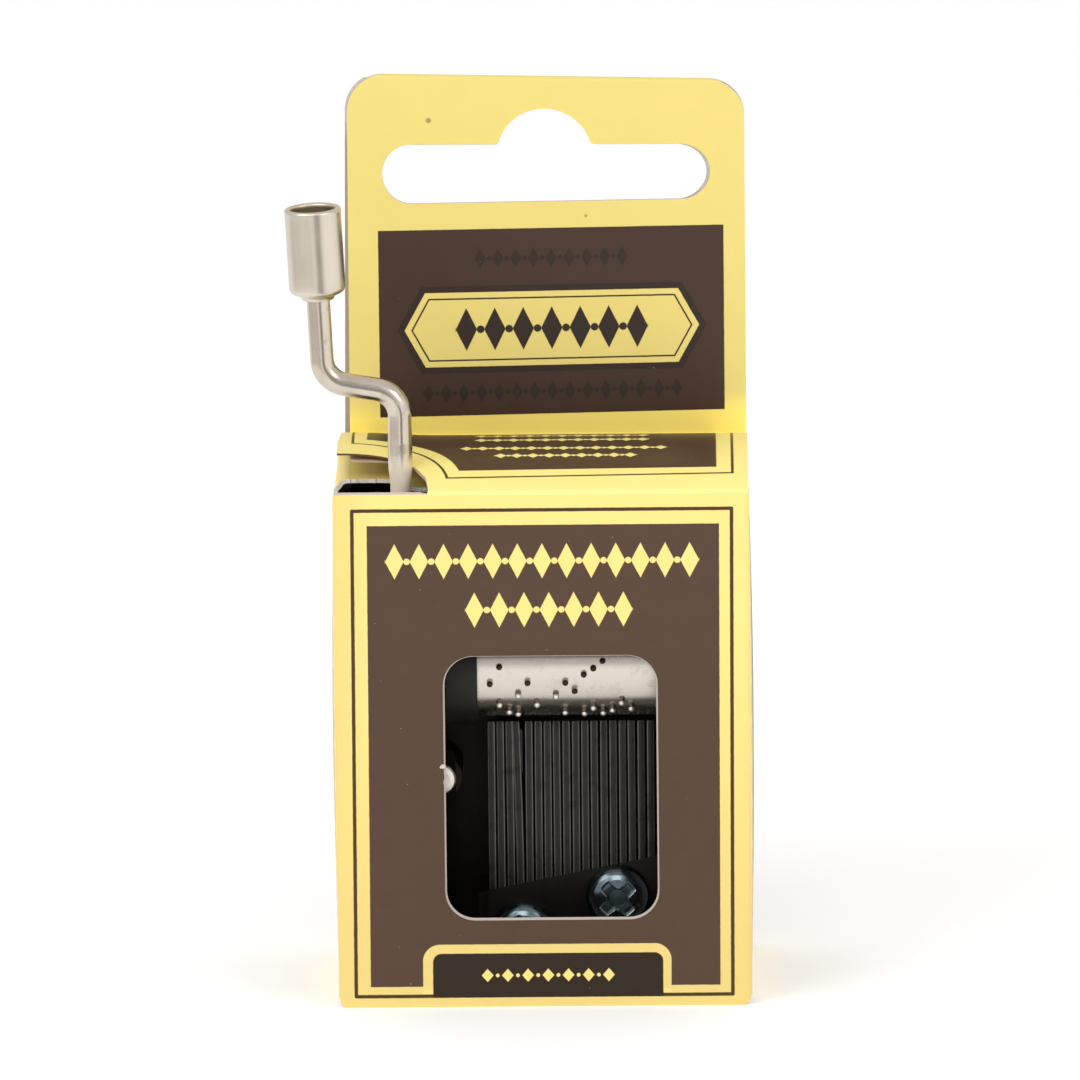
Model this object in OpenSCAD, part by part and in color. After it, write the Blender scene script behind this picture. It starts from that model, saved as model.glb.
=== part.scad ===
/* [Carton] */
// Outside width of the carton, left to right
carton_w = 44; // [42:0.5:48]
// Outside depth of the carton, front to back
carton_d = 25.4; // [24.4:0.2:28]
// Height of the fold between front panel and top panel
carton_h = 56.2; // [55.4:0.2:60]
// Thickness of the card
card = 0.45; // [0.3:0.05:0.5]
// How far the top panel bulges up between its folds
crown = 2.2; // [1:0.1:3]
// Radius of the crank cut-out in the front left corner of the top panel
cutout_r = 9.85; // [9.5:0.05:11]

/* [Window] */
// Left edge of the front window
window_x0 = -10.55; // [-12:0.05:-9]
// Right edge of the front window
window_x1 = 12.2; // [10:0.05:14]
// Lower edge of the front window
window_z0 = 9.5; // [9:0.1:12]
// Upper edge of the front window
window_z1 = 38.6; // [36:0.1:42]
// Corner radius of the front window
window_r = 3.2; // [1:0.1:5]

/* [Hang tab] */
// Height of the top edge of the hang tab
tab_top = 96; // [94:0.5:100]
// Left edge of the front layer of the hang tab
tab_x0 = -20.8; // [-21.6:0.1:-19]
// Corner radius of the hang tab
tab_r = 4.1; // [1:0.1:5]
// Length of the hanging slot
slot_len = 35; // [30:0.5:36]
// Height of the hanging slot
slot_h = 6.25; // [5:0.05:7]
// Height of the slot's lower edge above the table
slot_z = 82.4; // [80:0.1:84]
// Radius of the arch over the slot
arch_r = 5.1; // [4.5:0.1:6]

/* [Cylinder and comb] */
// Radius of the pinned cylinder
cyl_r = 6; // [5.5:0.1:6.2]
// Radius to the tips of the pins
pin_tip_r = 6.7; // [6.4:0.05:6.8]
// Radius of one pin
pin_r = 0.3; // [0.2:0.01:0.34]
// Depth position of the cylinder axis
axis_y = -1.3; // [-1.35:0.05:-1.2]
// Height of the cylinder axis
axis_z = 35.3; // [35:0.1:36]
// Number of teeth on the comb
teeth = 18; // [12:1:18]
// Spacing of the teeth
pitch = 1; // [0.8:0.05:1]
// Width of one tooth
tooth_w = 0.7; // [0.5:0.05:0.8]
// Thickness of the comb plate
comb_t = 0.9; // [0.6:0.05:1]

/* [Crank] */
// Diameter of the crank rod
rod_d = 2.5; // [2.3:0.05:2.6]
// Diameter of the crank rod's journal inside the movement
journal_d = 2.2; // [2:0.05:2.2]
// Sideways position of the crank axis
crank_x = -14.85; // [-15:0.05:-14.5]
// Sideways distance from the crank axis to the knob's rod
throw = 8.05; // [7:0.05:9]
// Height of the virtual corner where the rod turns outward
corner1_z = 65.8; // [64:0.1:68]
// Rise of the crank arm over its throw
arm_rise = 1.4; // [0:0.1:2.5]
// Lean of the knob, in degrees away from the carton
knob_lean = 2.7; // [0:0.1:5]
// Radius of the rod's bends, at its centre line
bend_r = 2.9; // [2.4:0.1:3]
// Outside diameter of the knob
knob_d = 5.96; // [5:0.02:7]
// Length of the knob
knob_h = 9.95; // [8:0.05:12]

/* [Worm drive] */
// Gear module of worm and wheel
gear_m = 0.5; // [0.5:0.1:0.5]
// Number of teeth on the worm wheel
wheel_n = 16; // [16:1:16]
// Pitch radius of the worm
worm_r = 2.1; // [2.1:0.1:2.1]
// Face width of the worm wheel
wheel_w = 3; // [2:0.1:3.4]

/* [Hidden] */
$fn = 48;
w2 = carton_w / 2;
d2 = carton_d / 2;
in_y0 = -d2 + card;
in_y1 = d2 - card;
fit = 0.05;
// centre distance of worm and wheel, with a little backlash
wheel_r = gear_m * wheel_n / 2;
centre_dist = worm_r + wheel_r + 0.1;
crank_y = axis_y - centre_dist;
px = PI * gear_m;
// bedplate
bed_y0 = 6.2;
bed_t = 1.4;
post_end = 11.7;
// cylinder
cyl_x0 = -7;
cyl_x1 = 13.2;
wheel_x = crank_x;
arbor_r = 1.2;
// comb
comb_y0 = axis_y - comb_t / 2;
comb_y1 = axis_y + comb_t / 2;
tip_z = axis_z - pin_tip_r - 0.05;
tooth1_x = -5.65;
root_z1 = 10.1;
root_z18 = 13.5;
screw_at = [[7.7, 9.35], [-2.45, 5.5]];
// front faces of the crank brackets
brk_y0 = -2.2;
brk_y1 = -1.2;
// tab
tab_x1 = 21.9;
slot_cx = 0.7;
slot_cz = slot_z + slot_h / 2;

// upright plate in the XZ plane from y0 to y1
module xz(y0, y1) translate([0, y1, 0]) rotate([90, 0, 0]) linear_extrude(y1 - y0) children();
// plate in the YZ plane from x0 to x1, drawn in y and z
module yz(x0, x1) translate([x0, 0, 0]) rotate([90, 0, 90]) linear_extrude(x1 - x0) children();
module bar(a, b) translate(a) cube([b[0] - a[0], b[1] - a[1], b[2] - a[2]]);
module rrect(x0, z0, x1, z1, r) {
  translate([x0 + r, z0]) square([x1 - x0 - 2 * r, z1 - z0]);
  translate([x0, z0 + r]) square([x1 - x0, z1 - z0 - 2 * r]);
  for (x = [x0 + r, x1 - r]) for (z = [z0 + r, z1 - r]) translate([x, z]) circle(r);
}

// ---- carton ----
// height of the top panel's outer face at depth y
function top_z(y) = carton_h + 4 * crown * ((y + d2) / carton_d) * (1 - (y + d2) / carton_d);

module front_panel() color("#f5e48c") xz(-d2, in_y0) difference() {
  union() {
    translate([-w2, 0]) square([carton_w, carton_h - card]);
    // raw edge under the crank cut-out
    translate([-w2, 0]) square([cutout_r + 0.2, carton_h - 0.1]);
  }
  rrect(window_x0, window_z0, window_x1, window_z1, window_r);
}
module left_side_panel() color("#f0dd84") bar([-w2, in_y0, 0.95], [-w2 + card, in_y1, carton_h - 1.25]);
module right_side_panel() color("#f0dd84") bar([w2 - card, in_y0, 0.95], [w2, in_y1, carton_h - 1.25]);

module slot_outline() {
  translate([slot_cx - slot_len / 2 + slot_h / 2, slot_z]) square([slot_len - slot_h, slot_h]);
  for (s = [-1, 1]) translate([slot_cx + s * (slot_len / 2 - slot_h / 2), slot_cz]) circle(slot_h / 2);
  translate([0.56, tab_top - 8.6]) circle(arch_r);
}
module tab_outline(x0, x1, z0) {
  translate([x0, z0]) square([x1 - x0, tab_top - tab_r - z0]);
  translate([x0 + tab_r, tab_top - tab_r - 0.1]) square([x1 - x0 - 2 * tab_r, tab_r + 0.1]);
  for (x = [x0 + tab_r, x1 - tab_r]) translate([x, tab_top - tab_r]) circle(tab_r);
}
// the back panel runs on upward as the rear layer of the hang tab
module back_panel() color("#efdc82") xz(in_y1, d2) difference() {
  union() {
    translate([-w2, 0.62]) square([carton_w, carton_h - 0.62]);
    tab_outline(-21.2, tab_x1, carton_h - 1);
  }
  slot_outline();
  translate([-w2 - 1, tab_top - card]) square([carton_w + 2, 2]);
}
// the front layer folds over the top of the rear layer
module hang_tab_front() color("#f0d878") {
  xz(in_y1 - card, in_y1) difference() {
    tab_outline(tab_x0, tab_x1, carton_h - 0.2);
    slot_outline();
  }
  xz(in_y1 - 0.01, d2) intersection() {
    tab_outline(tab_x0, tab_x1, carton_h);
    translate([-w2, tab_top - card]) square([carton_w, card]);
  }
}
module top_panel() color("#f7e78f") difference() {
  yz(-w2, w2) polygon(concat(
    [for (i = [0:32]) let (y = -d2 + (in_y1 - card + d2) * i / 32) [y, top_z(y)]],
    [for (i = [32:-1:0]) let (y = -d2 + (in_y1 - card + d2) * i / 32) [y, top_z(y) - card + 0.35 * (i == 0 ? 1 : 0)]]));
  translate([-w2 + 0.4, -d2, carton_h - 5]) cylinder(r = cutout_r, h = 12, $fn = 96);
  bar([-w2 - 1, -d2 - 1, carton_h - 5], [-w2 + 0.5, -d2 + cutout_r, carton_h + 5]);
}
module top_dust_flap_left() color("#d8c878") difference() {
  bar([-w2, -2.6, carton_h - 1.2], [-8.2, 9.9, carton_h - 0.75]);
  translate([-8.2, 9.9, carton_h - 2]) rotate([0, 0, 45]) cube([2.6, 2.6, 4], center = true);
}
module top_dust_flap_right() color("#d8c878") difference() {
  bar([8.2, -10.4, carton_h - 1.2], [w2, 9.9, carton_h - 0.75]);
  for (y = [-10.4, 9.9]) translate([8.2, y, carton_h - 2]) rotate([0, 0, 45]) cube([2.6, 2.6, 4], center = true);
}
module glue_flap() color("#e9e4d6") bar([-w2 + card, in_y1 - card, 1.6], [-w2 + 10.5, in_y1, carton_h - 2.4]);

// closure at the bottom: dust flaps lie inside, the bottom panel closes over them and its tuck flap slides up behind the front panel
module bottom_dust_flap_left() color("#e9e4d6") bar([-w2, -9.6, 0.5], [-3.2, 11.2, 0.95]);
module bottom_dust_flap_right() color("#e9e4d6") bar([3.2, -9.6, 0.5], [w2, 11.2, 0.95]);
module bottom_panel() color("#f5e48c") bar([-w2 + 0.3, in_y0 + 0.08, 0], [w2 - 0.3, 12.1, card]);
module bottom_tuck_flap() color("#f5e48c") xz(in_y0 + 0.08, in_y0 + 0.08 + card) {
  translate([-w2 + 0.75, card + 0.02]) square([carton_w - 1.5, 5]);
  translate([-w2 + 3.75, card + 0.02]) square([carton_w - 7.5, 8]);
  for (s = [-1, 1]) translate([s * (w2 - 3.75), card + 5.02]) circle(3);
}

// ---- movement ----
rear_screws = [[-17, 5], [17, 5], [-17, 50.5], [17, 50.5]];
boss_at = [[-11.1, 22.4], [-18, 9.5], [-18, 49.8], [-12, 49.8]];
module bedplate() color("#9b9b98") {
  difference() {
    union() {
      xz(bed_y0, bed_y0 + bed_t) rrect(-20.6, 1.3, 20.6, 53.2, 1.5);
      // ledge for the comb
      xz(comb_y1, bed_y0 + 0.1) polygon([[-7.2, 1.3], [13.6, 1.3], [13.6, root_z18 - 0.6], [-7.2, root_z1 - 0.6]]);
      // bosses for the crank brackets
      for (p = boss_at) translate([p[0], bed_y0 + 0.1, p[1]]) rotate([90, 0, 0]) cylinder(r = 2.3, h = bed_y0 + 0.1 - brk_y1);
      // posts at the rear
      for (p = rear_screws) translate([p[0], post_end, p[1]]) rotate([90, 0, 0]) cylinder(r = 2.6, h = post_end - bed_y0 - 0.5);
    }
    for (p = screw_at) translate([p[0], comb_y1 + 5.2, p[1]]) rotate([90, 0, 0]) cylinder(r = 1.4, h = 10);
    for (p = rear_screws) translate([p[0], post_end + 1, p[1]]) rotate([90, 0, 0]) cylinder(r = 1.05, h = 4.6);
    for (p = boss_at) translate([p[0], 4, p[1]]) rotate([90, 0, 0]) cylinder(r = 0.9, h = 10);
    for (p = bearing_rivet_at) translate([p[0], bed_y0 + bed_t, p[1]]) rotate([90, 0, 0]) cylinder(r = 0.9, h = 5);
  }
}

// comb: one steel plate with teeth that point up at the cylinder, longest tooth on the left
function tooth_x(i) = tooth1_x + pitch * i;
function root_z(i) = root_z1 + (root_z18 - root_z1) * i / (teeth - 1);
module comb() color("#3c3a38") difference() {
  xz(comb_y0, comb_y1) {
    polygon([[tooth_x(0) - 0.5, 2.2], [tooth_x(teeth - 1) + 0.9, 2.2],
      [tooth_x(teeth - 1) + 0.9, root_z(teeth - 1) + 0.2], [tooth_x(0) - 0.5, root_z(0) - 0.1]]);
    for (i = [0:teeth - 1]) translate([tooth_x(i) - tooth_w / 2, root_z(i) - 1])
      square([tooth_w, tip_z - root_z(i) + 1]);
  }
  for (p = screw_at) translate([p[0], 0, p[1]]) rotate([90, 0, 0]) cylinder(r = 1.4, h = 10, center = true);
}
// lead weights under the tips of the bass teeth
module tuning_weights() color("#6d6d70")
  for (i = [0:6]) bar([tooth_x(i) - 0.32, comb_y1, tip_z - 6.6 + 0.25 * i], [tooth_x(i) + 0.32, comb_y1 + 2.3 - 0.25 * i, tip_z - 1.1]);
// pan head screws with a cross recess
module comb_screws() color("#4a5660") for (p = screw_at) translate([p[0], comb_y0, p[1]]) rotate([90, 0, 0]) difference() {
  union() {
    rotate_extrude($fn = 64) polygon([[0, 0], [3.4, 0], [3.4, 0.25], [3.34, 0.55], [3.2, 0.85], [2.95, 1.18], [2.6, 1.46], [2.1, 1.7], [1.5, 1.86], [0.8, 1.95], [0, 2]]);
    translate([0, 0, -comb_t - 4.6]) cylinder(r = 1.4, h = comb_t + 4.61);
  }
  for (a = [25, 115]) rotate([0, 0, a]) translate([-2, -0.55, 1.15]) cube([4, 1.1, 2]);
}

// cylinder
module along_x(x) translate([x, axis_y, axis_z]) rotate([0, 90, 0]) children();
module cylinder_tube() color("#c8c3b9") along_x(cyl_x0) difference() {
  cylinder(r = cyl_r, h = cyl_x1 - cyl_x0, $fn = 96);
  translate([0, 0, -1]) cylinder(r = cyl_r - 0.5, h = cyl_x1 - cyl_x0 + 2, $fn = 96);
}
// pins: [column, degrees round from the comb line towards the front]
pin_front = [[0, 79], [1, 96], [3, 66], [4, 80], [7, 65], [8, 80], [9, 71], [10, 88], [11, 94],
  [12, 101], [1, 54], [2, 42], [3, 38], [5, 54], [8, 40], [10, 38], [11, 48], [12, 39],
  [13, 44], [14, 56], [15, 47]];
// further pins round the back, laid out by a counting rule
pin_back = [for (k = [1:37]) [(k * 7 + 3) % 18, 104 + (k * 37 + (k % 5) * 11) % 228]];
module cylinder_pins() color("#cdc8be") for (p = concat(pin_front, pin_back))
  translate([tooth_x(p[0]), axis_y, axis_z]) rotate([180 - p[1], 0, 0]) translate([0, 0, cyl_r - 0.2]) cylinder(r = pin_r, h = pin_tip_r - cyl_r + 0.2, $fn = 16);
module cylinder_arbor() color("#b4b4b2") along_x(-19.3) cylinder(r = arbor_r, h = 35.8);
module cylinder_end_cap() color("#b89a58") along_x(11.6) difference() {
  union() {
    cylinder(r = cyl_r - 0.5, h = 1.5);
    cylinder(r = 2.4, h = 2.6);
  }
  translate([0, 0, -1]) cylinder(r = arbor_r, h = 5);
}

// worm wheel: straight rack flanks turned into involutes
pa = 20;
function inv_pt(rb, t) = [rb * (cos(t) + t * PI / 180 * sin(t)), rb * (sin(t) - t * PI / 180 * cos(t))];
function rot2(p, a) = [p[0] * cos(a) - p[1] * sin(a), p[0] * sin(a) + p[1] * cos(a)];
rb = wheel_r * cos(pa);
ra = wheel_r + gear_m * 0.92;
rf = wheel_r - gear_m * 1.25;
t_a = sqrt(ra * ra / (rb * rb) - 1) * 180 / PI;
inv_p = (tan(pa) - pa * PI / 180) * 180 / PI;
// half the tooth's angle at the pitch circle, less backlash
half_t = 90 / wheel_n - 0.09 / wheel_r * 180 / PI;
module wheel_outline() {
  polygon([for (k = [0:wheel_n - 1]) let (a = 360 / wheel_n * k)
    for (q = concat(
      [rot2([rf, 0], -180 / wheel_n + 0.1), rot2([rf, 0], -half_t - inv_p - 0.5)],
      [for (i = [0:3]) rot2(inv_pt(rb, t_a * i / 3), -half_t - inv_p)],
      [for (i = [3:-1:0]) let (q = inv_pt(rb, t_a * i / 3)) rot2([q[0], -q[1]], half_t + inv_p)],
      [rot2([rf, 0], half_t + inv_p + 0.5)])) rot2(q, a)]);
}
lead_slope = px / (2 * PI * worm_r);
wheel_twist = wheel_w * lead_slope / wheel_r * 180 / PI;
// one moulding: toothed wheel, sleeve, and the flange that closes the cylinder's left end
module worm_wheel() color("#2e2e2c") difference() {
  union() {
    // a gap between two teeth faces the worm
    translate([wheel_x, axis_y, axis_z]) rotate([-90 + 180 / wheel_n, 0, 0]) rotate([0, 90, 0]) rotate([0, 0, 180 - wheel_twist / 2])
      linear_extrude(height = wheel_w, center = true, twist = -wheel_twist, slices = 4, convexity = 6, $fn = 8) wheel_outline();
    along_x(wheel_x - wheel_w / 2 - 0.9) cylinder(r = 2.4, h = 1);
    along_x(wheel_x + wheel_w / 2 - 0.1) cylinder(r = 2.9, h = 3.2);
    along_x(-10.35) cylinder(r = 6.95, h = 3.35, $fn = 72);
    along_x(-7.1) cylinder(r = cyl_r - 0.5, h = 2.1);
  }
  along_x(-20) cylinder(r = arbor_r, h = 20);
}

// bearings for the cylinder: bent sheet, an ear across the arbor and a foot on the bedplate
bearing_rivet_at = [[-14.6, 35.3], [18, 32.8], [18, 37.8]];
module bearing_ear(x0) difference() {
  yz(x0, x0 + 1) {
    translate([axis_y, axis_z]) circle(2.8);
    translate([axis_y, axis_z - 2.8]) square([bed_y0 - axis_y, 5.6]);
  }
  along_x(x0 - 1) cylinder(r = arbor_r + fit, h = 3);
}
module cylinder_bearing_left() color("#8f8f8c") difference() {
  union() {
    bearing_ear(-18.8);
    bar([-18.8, bed_y0 - 1, axis_z - 2.8], [-12.2, bed_y0, axis_z + 2.8]);
  }
  translate([-14.6, bed_y0 + 1, 35.3]) rotate([90, 0, 0]) cylinder(r = 0.9, h = 4);
}
module cylinder_bearing_right() color("#8f8f8c") difference() {
  union() {
    bearing_ear(14.6);
    bar([14.6, bed_y0 - 1, axis_z - 4.6], [20.2, bed_y0, axis_z + 4.6]);
  }
  for (z = [32.8, 37.8]) translate([18, bed_y0 + 1, z]) rotate([90, 0, 0]) cylinder(r = 0.9, h = 4);
}
// a rivet with a low domed head that faces the front, seat of the head at y0
module rivet(x, z, y0, shank, r) translate([x, y0, z]) rotate([90, 0, 0]) {
  rotate_extrude($fn = 40) polygon([[0, 0], [r, 0], [r, 0.18], [r * 0.9, 0.38], [r * 0.62, 0.54], [0, 0.6]]);
  translate([0, 0, -shank]) cylinder(r = 0.9, h = shank + 0.01);
}
module bearing_rivets() color("#b4b4b2") for (p = bearing_rivet_at) rivet(p[0], p[1], bed_y0 - 1, bed_t + 1, 1.4);

// brackets for the crank: a riveted plate, with an ear bent forward
module crank_ear(z0) difference() {
  union() {
    bar([-18.6, crank_y, z0], [-11.1, brk_y1, z0 + 1]);
    translate([crank_x, crank_y, z0]) cylinder(r = 3.75, h = 1);
  }
  translate([crank_x, crank_y, z0 - 1]) cylinder(r = 1.9, h = 3);
  bar([-20, crank_y - 5, z0 - 1], [-10, crank_y - 2.6, z0 + 2]);
}
ear_lo = 24.6;
ear_hi = 45.6;
module crank_bracket_lower() color("#2f302f") difference() {
  union() {
    crank_ear(ear_lo);
    xz(brk_y0, brk_y1) rrect(-20.2, 6, -9.5, ear_lo + 1, 0.6);
  }
  for (i = [0, 1]) translate([boss_at[i][0], 0, boss_at[i][1]]) rotate([90, 0, 0]) cylinder(r = 0.9, h = 5);
}
module crank_bracket_upper() color("#2f302f") difference() {
  union() {
    crank_ear(ear_hi);
    xz(brk_y0, brk_y1) rrect(-20.2, ear_hi, -9.5, 52.4, 0.6);
  }
  for (i = [2, 3]) translate([boss_at[i][0], 0, boss_at[i][1]]) rotate([90, 0, 0]) cylinder(r = 0.9, h = 5);
}
module crank_bracket_rivets() color("#c8c3b9") for (p = boss_at) rivet(p[0], p[1], brk_y0, 6.2, 1.65);
// flanged brass bushes in the ears
module crank_bush(z0, s) translate([crank_x, crank_y, z0]) mirror([0, 0, s]) difference() {
  union() {
    cylinder(r = 1.9, h = 1.01);
    translate([0, 0, 1]) cylinder(r = 2.5, h = 0.5);
  }
  translate([0, 0, -1]) cylinder(r = journal_d / 2 + fit, h = 4);
}
module crank_bush_lower() color("#b89a58") crank_bush(ear_lo, 0);
module crank_bush_upper() color("#b89a58") crank_bush(ear_hi + 1, 1);

// crank rod: straight up out of the carton, out to the left, then up again with a slight lean
arm_a = atan2(arm_rise, throw);
turn1 = 90 - arm_a;
turn2 = 90 - arm_a - knob_lean;
t1 = bend_r * tan(turn1 / 2);
t2 = bend_r * tan(turn2 / 2);
c2 = [crank_x - throw, corner1_z + arm_rise];
arm_len = sqrt(throw * throw + arm_rise * arm_rise);
// how far the straight lengths run into the bends
lap = 0.05;
neck_s = 8.75;
shoulder_z = 55.2;
rod_end_s = neck_s + 5.2;
module in_crank_plane(x, z) translate([x, crank_y, z]) children();
// quarter-like bend in the XZ plane, starting at the origin heading along +Z and curving towards -X
module bend(a) translate([-bend_r, 0, 0]) rotate([90, 0, 0]) rotate_extrude(angle = a, $fn = 96) translate([bend_r, 0]) circle(d = rod_d + 0.004, $fn = 48);
module crank_rod() color("#c9beb0") {
  in_crank_plane(crank_x, 22.6) {
    cylinder(d = journal_d, h = shoulder_z - 22.6);
    translate([0, 0, shoulder_z - 22.6 - 0.01]) cylinder(d1 = journal_d, d2 = rod_d, h = 0.3);
    translate([0, 0, shoulder_z - 22.6 + 0.28]) cylinder(d = rod_d, h = corner1_z - t1 - shoulder_z - 0.28 + lap);
  }
  in_crank_plane(crank_x, corner1_z - t1) bend(turn1);
  // the arm
  in_crank_plane(crank_x - t1 * cos(arm_a), corner1_z + t1 * sin(arm_a)) rotate([0, -90 + arm_a, 0])
    translate([0, 0, -lap]) cylinder(d = rod_d, h = arm_len - t1 - t2 + 2 * lap);
  // second bend, curving back up
  in_crank_plane(c2[0] - t2 * sin(knob_lean), c2[1] + t2 * cos(knob_lean)) rotate([0, -knob_lean, 0]) mirror([0, 0, 1]) mirror([1, 0, 0]) bend(turn2);
  in_crank_plane(c2[0], c2[1]) rotate([0, -knob_lean, 0]) {
    translate([0, 0, t2 - lap]) cylinder(d = rod_d, h = rod_end_s - t2 - 0.5 + lap);
    // the riveted-over end, inside the knob
    translate([0, 0, rod_end_s - 0.9]) cylinder(r = 1.75, h = 0.9);
  }
}
worm_turns = 5;
worm_h = worm_turns * px;
// radius of the worm at a share u of one turn from the crest
function worm_at(u) = let (s = abs(u) * px, s1 = px / 4 - 0.09 - 0.46 * tan(pa), s2 = px / 4 - 0.09 + 0.6 * tan(pa))
  s < s1 ? worm_r + 0.46 : s > s2 ? worm_r - 0.6 : worm_r + 0.46 - 1.06 * (s - s1) / (s2 - s1);
module worm() color("#b89a58") translate([crank_x, crank_y, axis_z]) difference() {
  rotate([0, 0, 180]) linear_extrude(height = worm_h, center = true, twist = -360 * worm_turns, slices = 16 * worm_turns, convexity = 8, $fn = 15)
    polygon([for (a = [-180, -150, -119, -97, -75, -53, -31, -10, 10, 31, 53, 75, 97, 119, 150]) worm_at(a / 360) * [cos(a + 90), sin(a + 90)]]);
  cylinder(d = journal_d, h = 20, center = true);
}
module thrust_collar() color("#b89a58") translate([crank_x, crank_y, ear_hi + 1.1]) difference() {
  cylinder(r = 2.4, h = 1.4);
  translate([0, 0, -1]) cylinder(d = journal_d, h = 4);
}
module retaining_clip() color("#55585a") translate([crank_x, crank_y, ear_lo - 0.65]) linear_extrude(0.5) difference() {
  circle(2.3);
  circle(d = journal_d);
  translate([0, -0.8]) square([4, 1.6]);
}

// knob: a thin metal cup that spins on the rod's upper end
module on_knob_axis(s) in_crank_plane(c2[0], c2[1]) rotate([0, -knob_lean, 0]) translate([0, 0, s]) children();
module knob() color("#cfc6b8") on_knob_axis(neck_s) rotate_extrude($fn = 96) polygon([
  [rod_d / 2 + fit, 0], [1.75, 0], [1.85, 0.35], [2.3, 0.72], [knob_d / 2 - 0.25, 1.02], [knob_d / 2, 1.3],
  [knob_d / 2, knob_h - 0.15], [knob_d / 2 - 0.15, knob_h], [knob_d / 2 - 0.38, knob_h], [knob_d / 2 - 0.5, knob_h - 0.15],
  [knob_d / 2 - 0.5, 2.4], [knob_d / 2 - 0.8, 2.1], [rod_d / 2 + fit, 2.1]]);
module knob_washer() color("#a8a29a") on_knob_axis(neck_s + 2.85) difference() {
  cylinder(r = 2.2, h = 0.5);
  translate([0, 0, -1]) cylinder(r = rod_d / 2 + fit, h = 3);
}

front_panel();
left_side_panel();
right_side_panel();
back_panel();
top_panel();
hang_tab_front();
top_dust_flap_left();
top_dust_flap_right();
glue_flap();
bottom_dust_flap_left();
bottom_dust_flap_right();
bottom_panel();
bottom_tuck_flap();
bedplate();
comb();
tuning_weights();
comb_screws();
cylinder_tube();
cylinder_pins();
cylinder_arbor();
cylinder_end_cap();
worm_wheel();
cylinder_bearing_left();
cylinder_bearing_right();
bearing_rivets();
crank_bracket_upper();
crank_bracket_lower();
crank_bracket_rivets();
crank_bush_upper();
crank_bush_lower();
crank_rod();
worm();
thrust_collar();
retaining_clip();
knob();
knob_washer();
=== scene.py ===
import math

import bmesh
import bpy
import numpy as np
from mathutils import Matrix, Vector
from mathutils.geometry import delaunay_2d_cdt


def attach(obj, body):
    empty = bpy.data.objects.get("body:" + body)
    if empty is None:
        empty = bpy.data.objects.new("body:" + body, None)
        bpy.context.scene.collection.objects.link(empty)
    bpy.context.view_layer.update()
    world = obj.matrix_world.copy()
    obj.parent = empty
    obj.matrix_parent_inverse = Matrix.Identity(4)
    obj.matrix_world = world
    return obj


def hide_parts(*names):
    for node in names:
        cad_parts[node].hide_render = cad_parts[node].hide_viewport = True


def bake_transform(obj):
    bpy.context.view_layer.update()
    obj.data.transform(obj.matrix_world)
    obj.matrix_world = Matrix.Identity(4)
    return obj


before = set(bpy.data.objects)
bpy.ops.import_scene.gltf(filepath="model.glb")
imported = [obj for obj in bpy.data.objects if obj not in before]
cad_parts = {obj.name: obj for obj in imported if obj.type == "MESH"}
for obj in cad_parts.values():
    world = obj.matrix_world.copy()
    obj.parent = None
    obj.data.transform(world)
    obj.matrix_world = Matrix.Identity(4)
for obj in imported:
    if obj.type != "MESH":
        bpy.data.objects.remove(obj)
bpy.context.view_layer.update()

MM = 0.001
RAD = math.pi / 180
rng = np.random.default_rng(11)


def lin(r, g, b):
    """A screen colour, 0 to 255, as a linear one."""
    f = lambda c: c / 12.92 if c <= 0.04045 else ((c + 0.055) / 1.055) ** 2.4
    return (f(r / 255), f(g / 255), f(b / 255), 1.0)


# ---------------------------------------------------------------- node graphs
class S:
    """A socket that can be added, multiplied and so on, so that a pattern reads as a formula."""

    def __init__(self, tree, sock):
        self.t, self.s = tree, sock

    def op(self, kind, *others, clamp=False):
        n = self.t.nodes.new("ShaderNodeMath")
        n.operation, n.use_clamp = kind, clamp
        for i, v in enumerate((self,) + others):
            if isinstance(v, S):
                self.t.links.new(v.s, n.inputs[i])
            else:
                n.inputs[i].default_value = v
        return S(self.t, n.outputs[0])

    def __add__(self, o): return self.op("ADD", o)
    def __sub__(self, o): return self.op("SUBTRACT", o)
    def __mul__(self, o): return self.op("MULTIPLY", o)
    def __truediv__(self, o): return self.op("DIVIDE", o)
    def __radd__(self, o): return self.op("ADD", o)
    def __rmul__(self, o): return self.op("MULTIPLY", o)
    def __rsub__(self, o): return (self * -1.0).op("ADD", o)
    def abs(self): return self.op("ABSOLUTE")
    def sqrt(self): return self.op("SQRT")
    def min(self, o): return self.op("MINIMUM", o)
    def max(self, o): return self.op("MAXIMUM", o)
    def fold(self, p):
        """Distance to the nearest multiple of p."""
        return (self.op("FLOORED_MODULO", p) - p / 2).abs() * -1.0 + p / 2
    def cell(self, p):
        """Position inside a cell of width p, from -p/2 to p/2, cells centred on multiples of p."""
        return (self + p / 2).op("FLOORED_MODULO", p) - p / 2
    def inside(self, soft=0.035):
        """1 where the distance is under 0, with a soft edge."""
        return (self * (-0.5 / soft) + 0.5).op("ADD", 0.0, clamp=True)
    def ramp(self, lo, hi):
        n = self.t.nodes.new("ShaderNodeMapRange")
        n.interpolation_type = "SMOOTHSTEP"
        self.t.links.new(self.s, n.inputs[0])
        n.inputs[1].default_value, n.inputs[2].default_value = lo, hi
        return S(self.t, n.outputs[0])


def hypot(a, b): return (a * a + b * b).sqrt()


def rect(x, y, x0, y0, x1, y1, r=0.0):
    """Signed distance to a rectangle with rounded corners."""
    qx = (x - (x0 + x1) / 2).abs() - ((x1 - x0) / 2 - r)
    qy = (y - (y0 + y1) / 2).abs() - ((y1 - y0) / 2 - r)
    return hypot(qx.max(0.0), qy.max(0.0)) + qx.max(qy).min(0.0) - r


def lozenge(x, y, a, b):
    return (x.abs() / a + y.abs() / b - 1.0) * (a * b / math.hypot(a, b))


def disc(x, y, r): return hypot(x, y) - r


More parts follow.
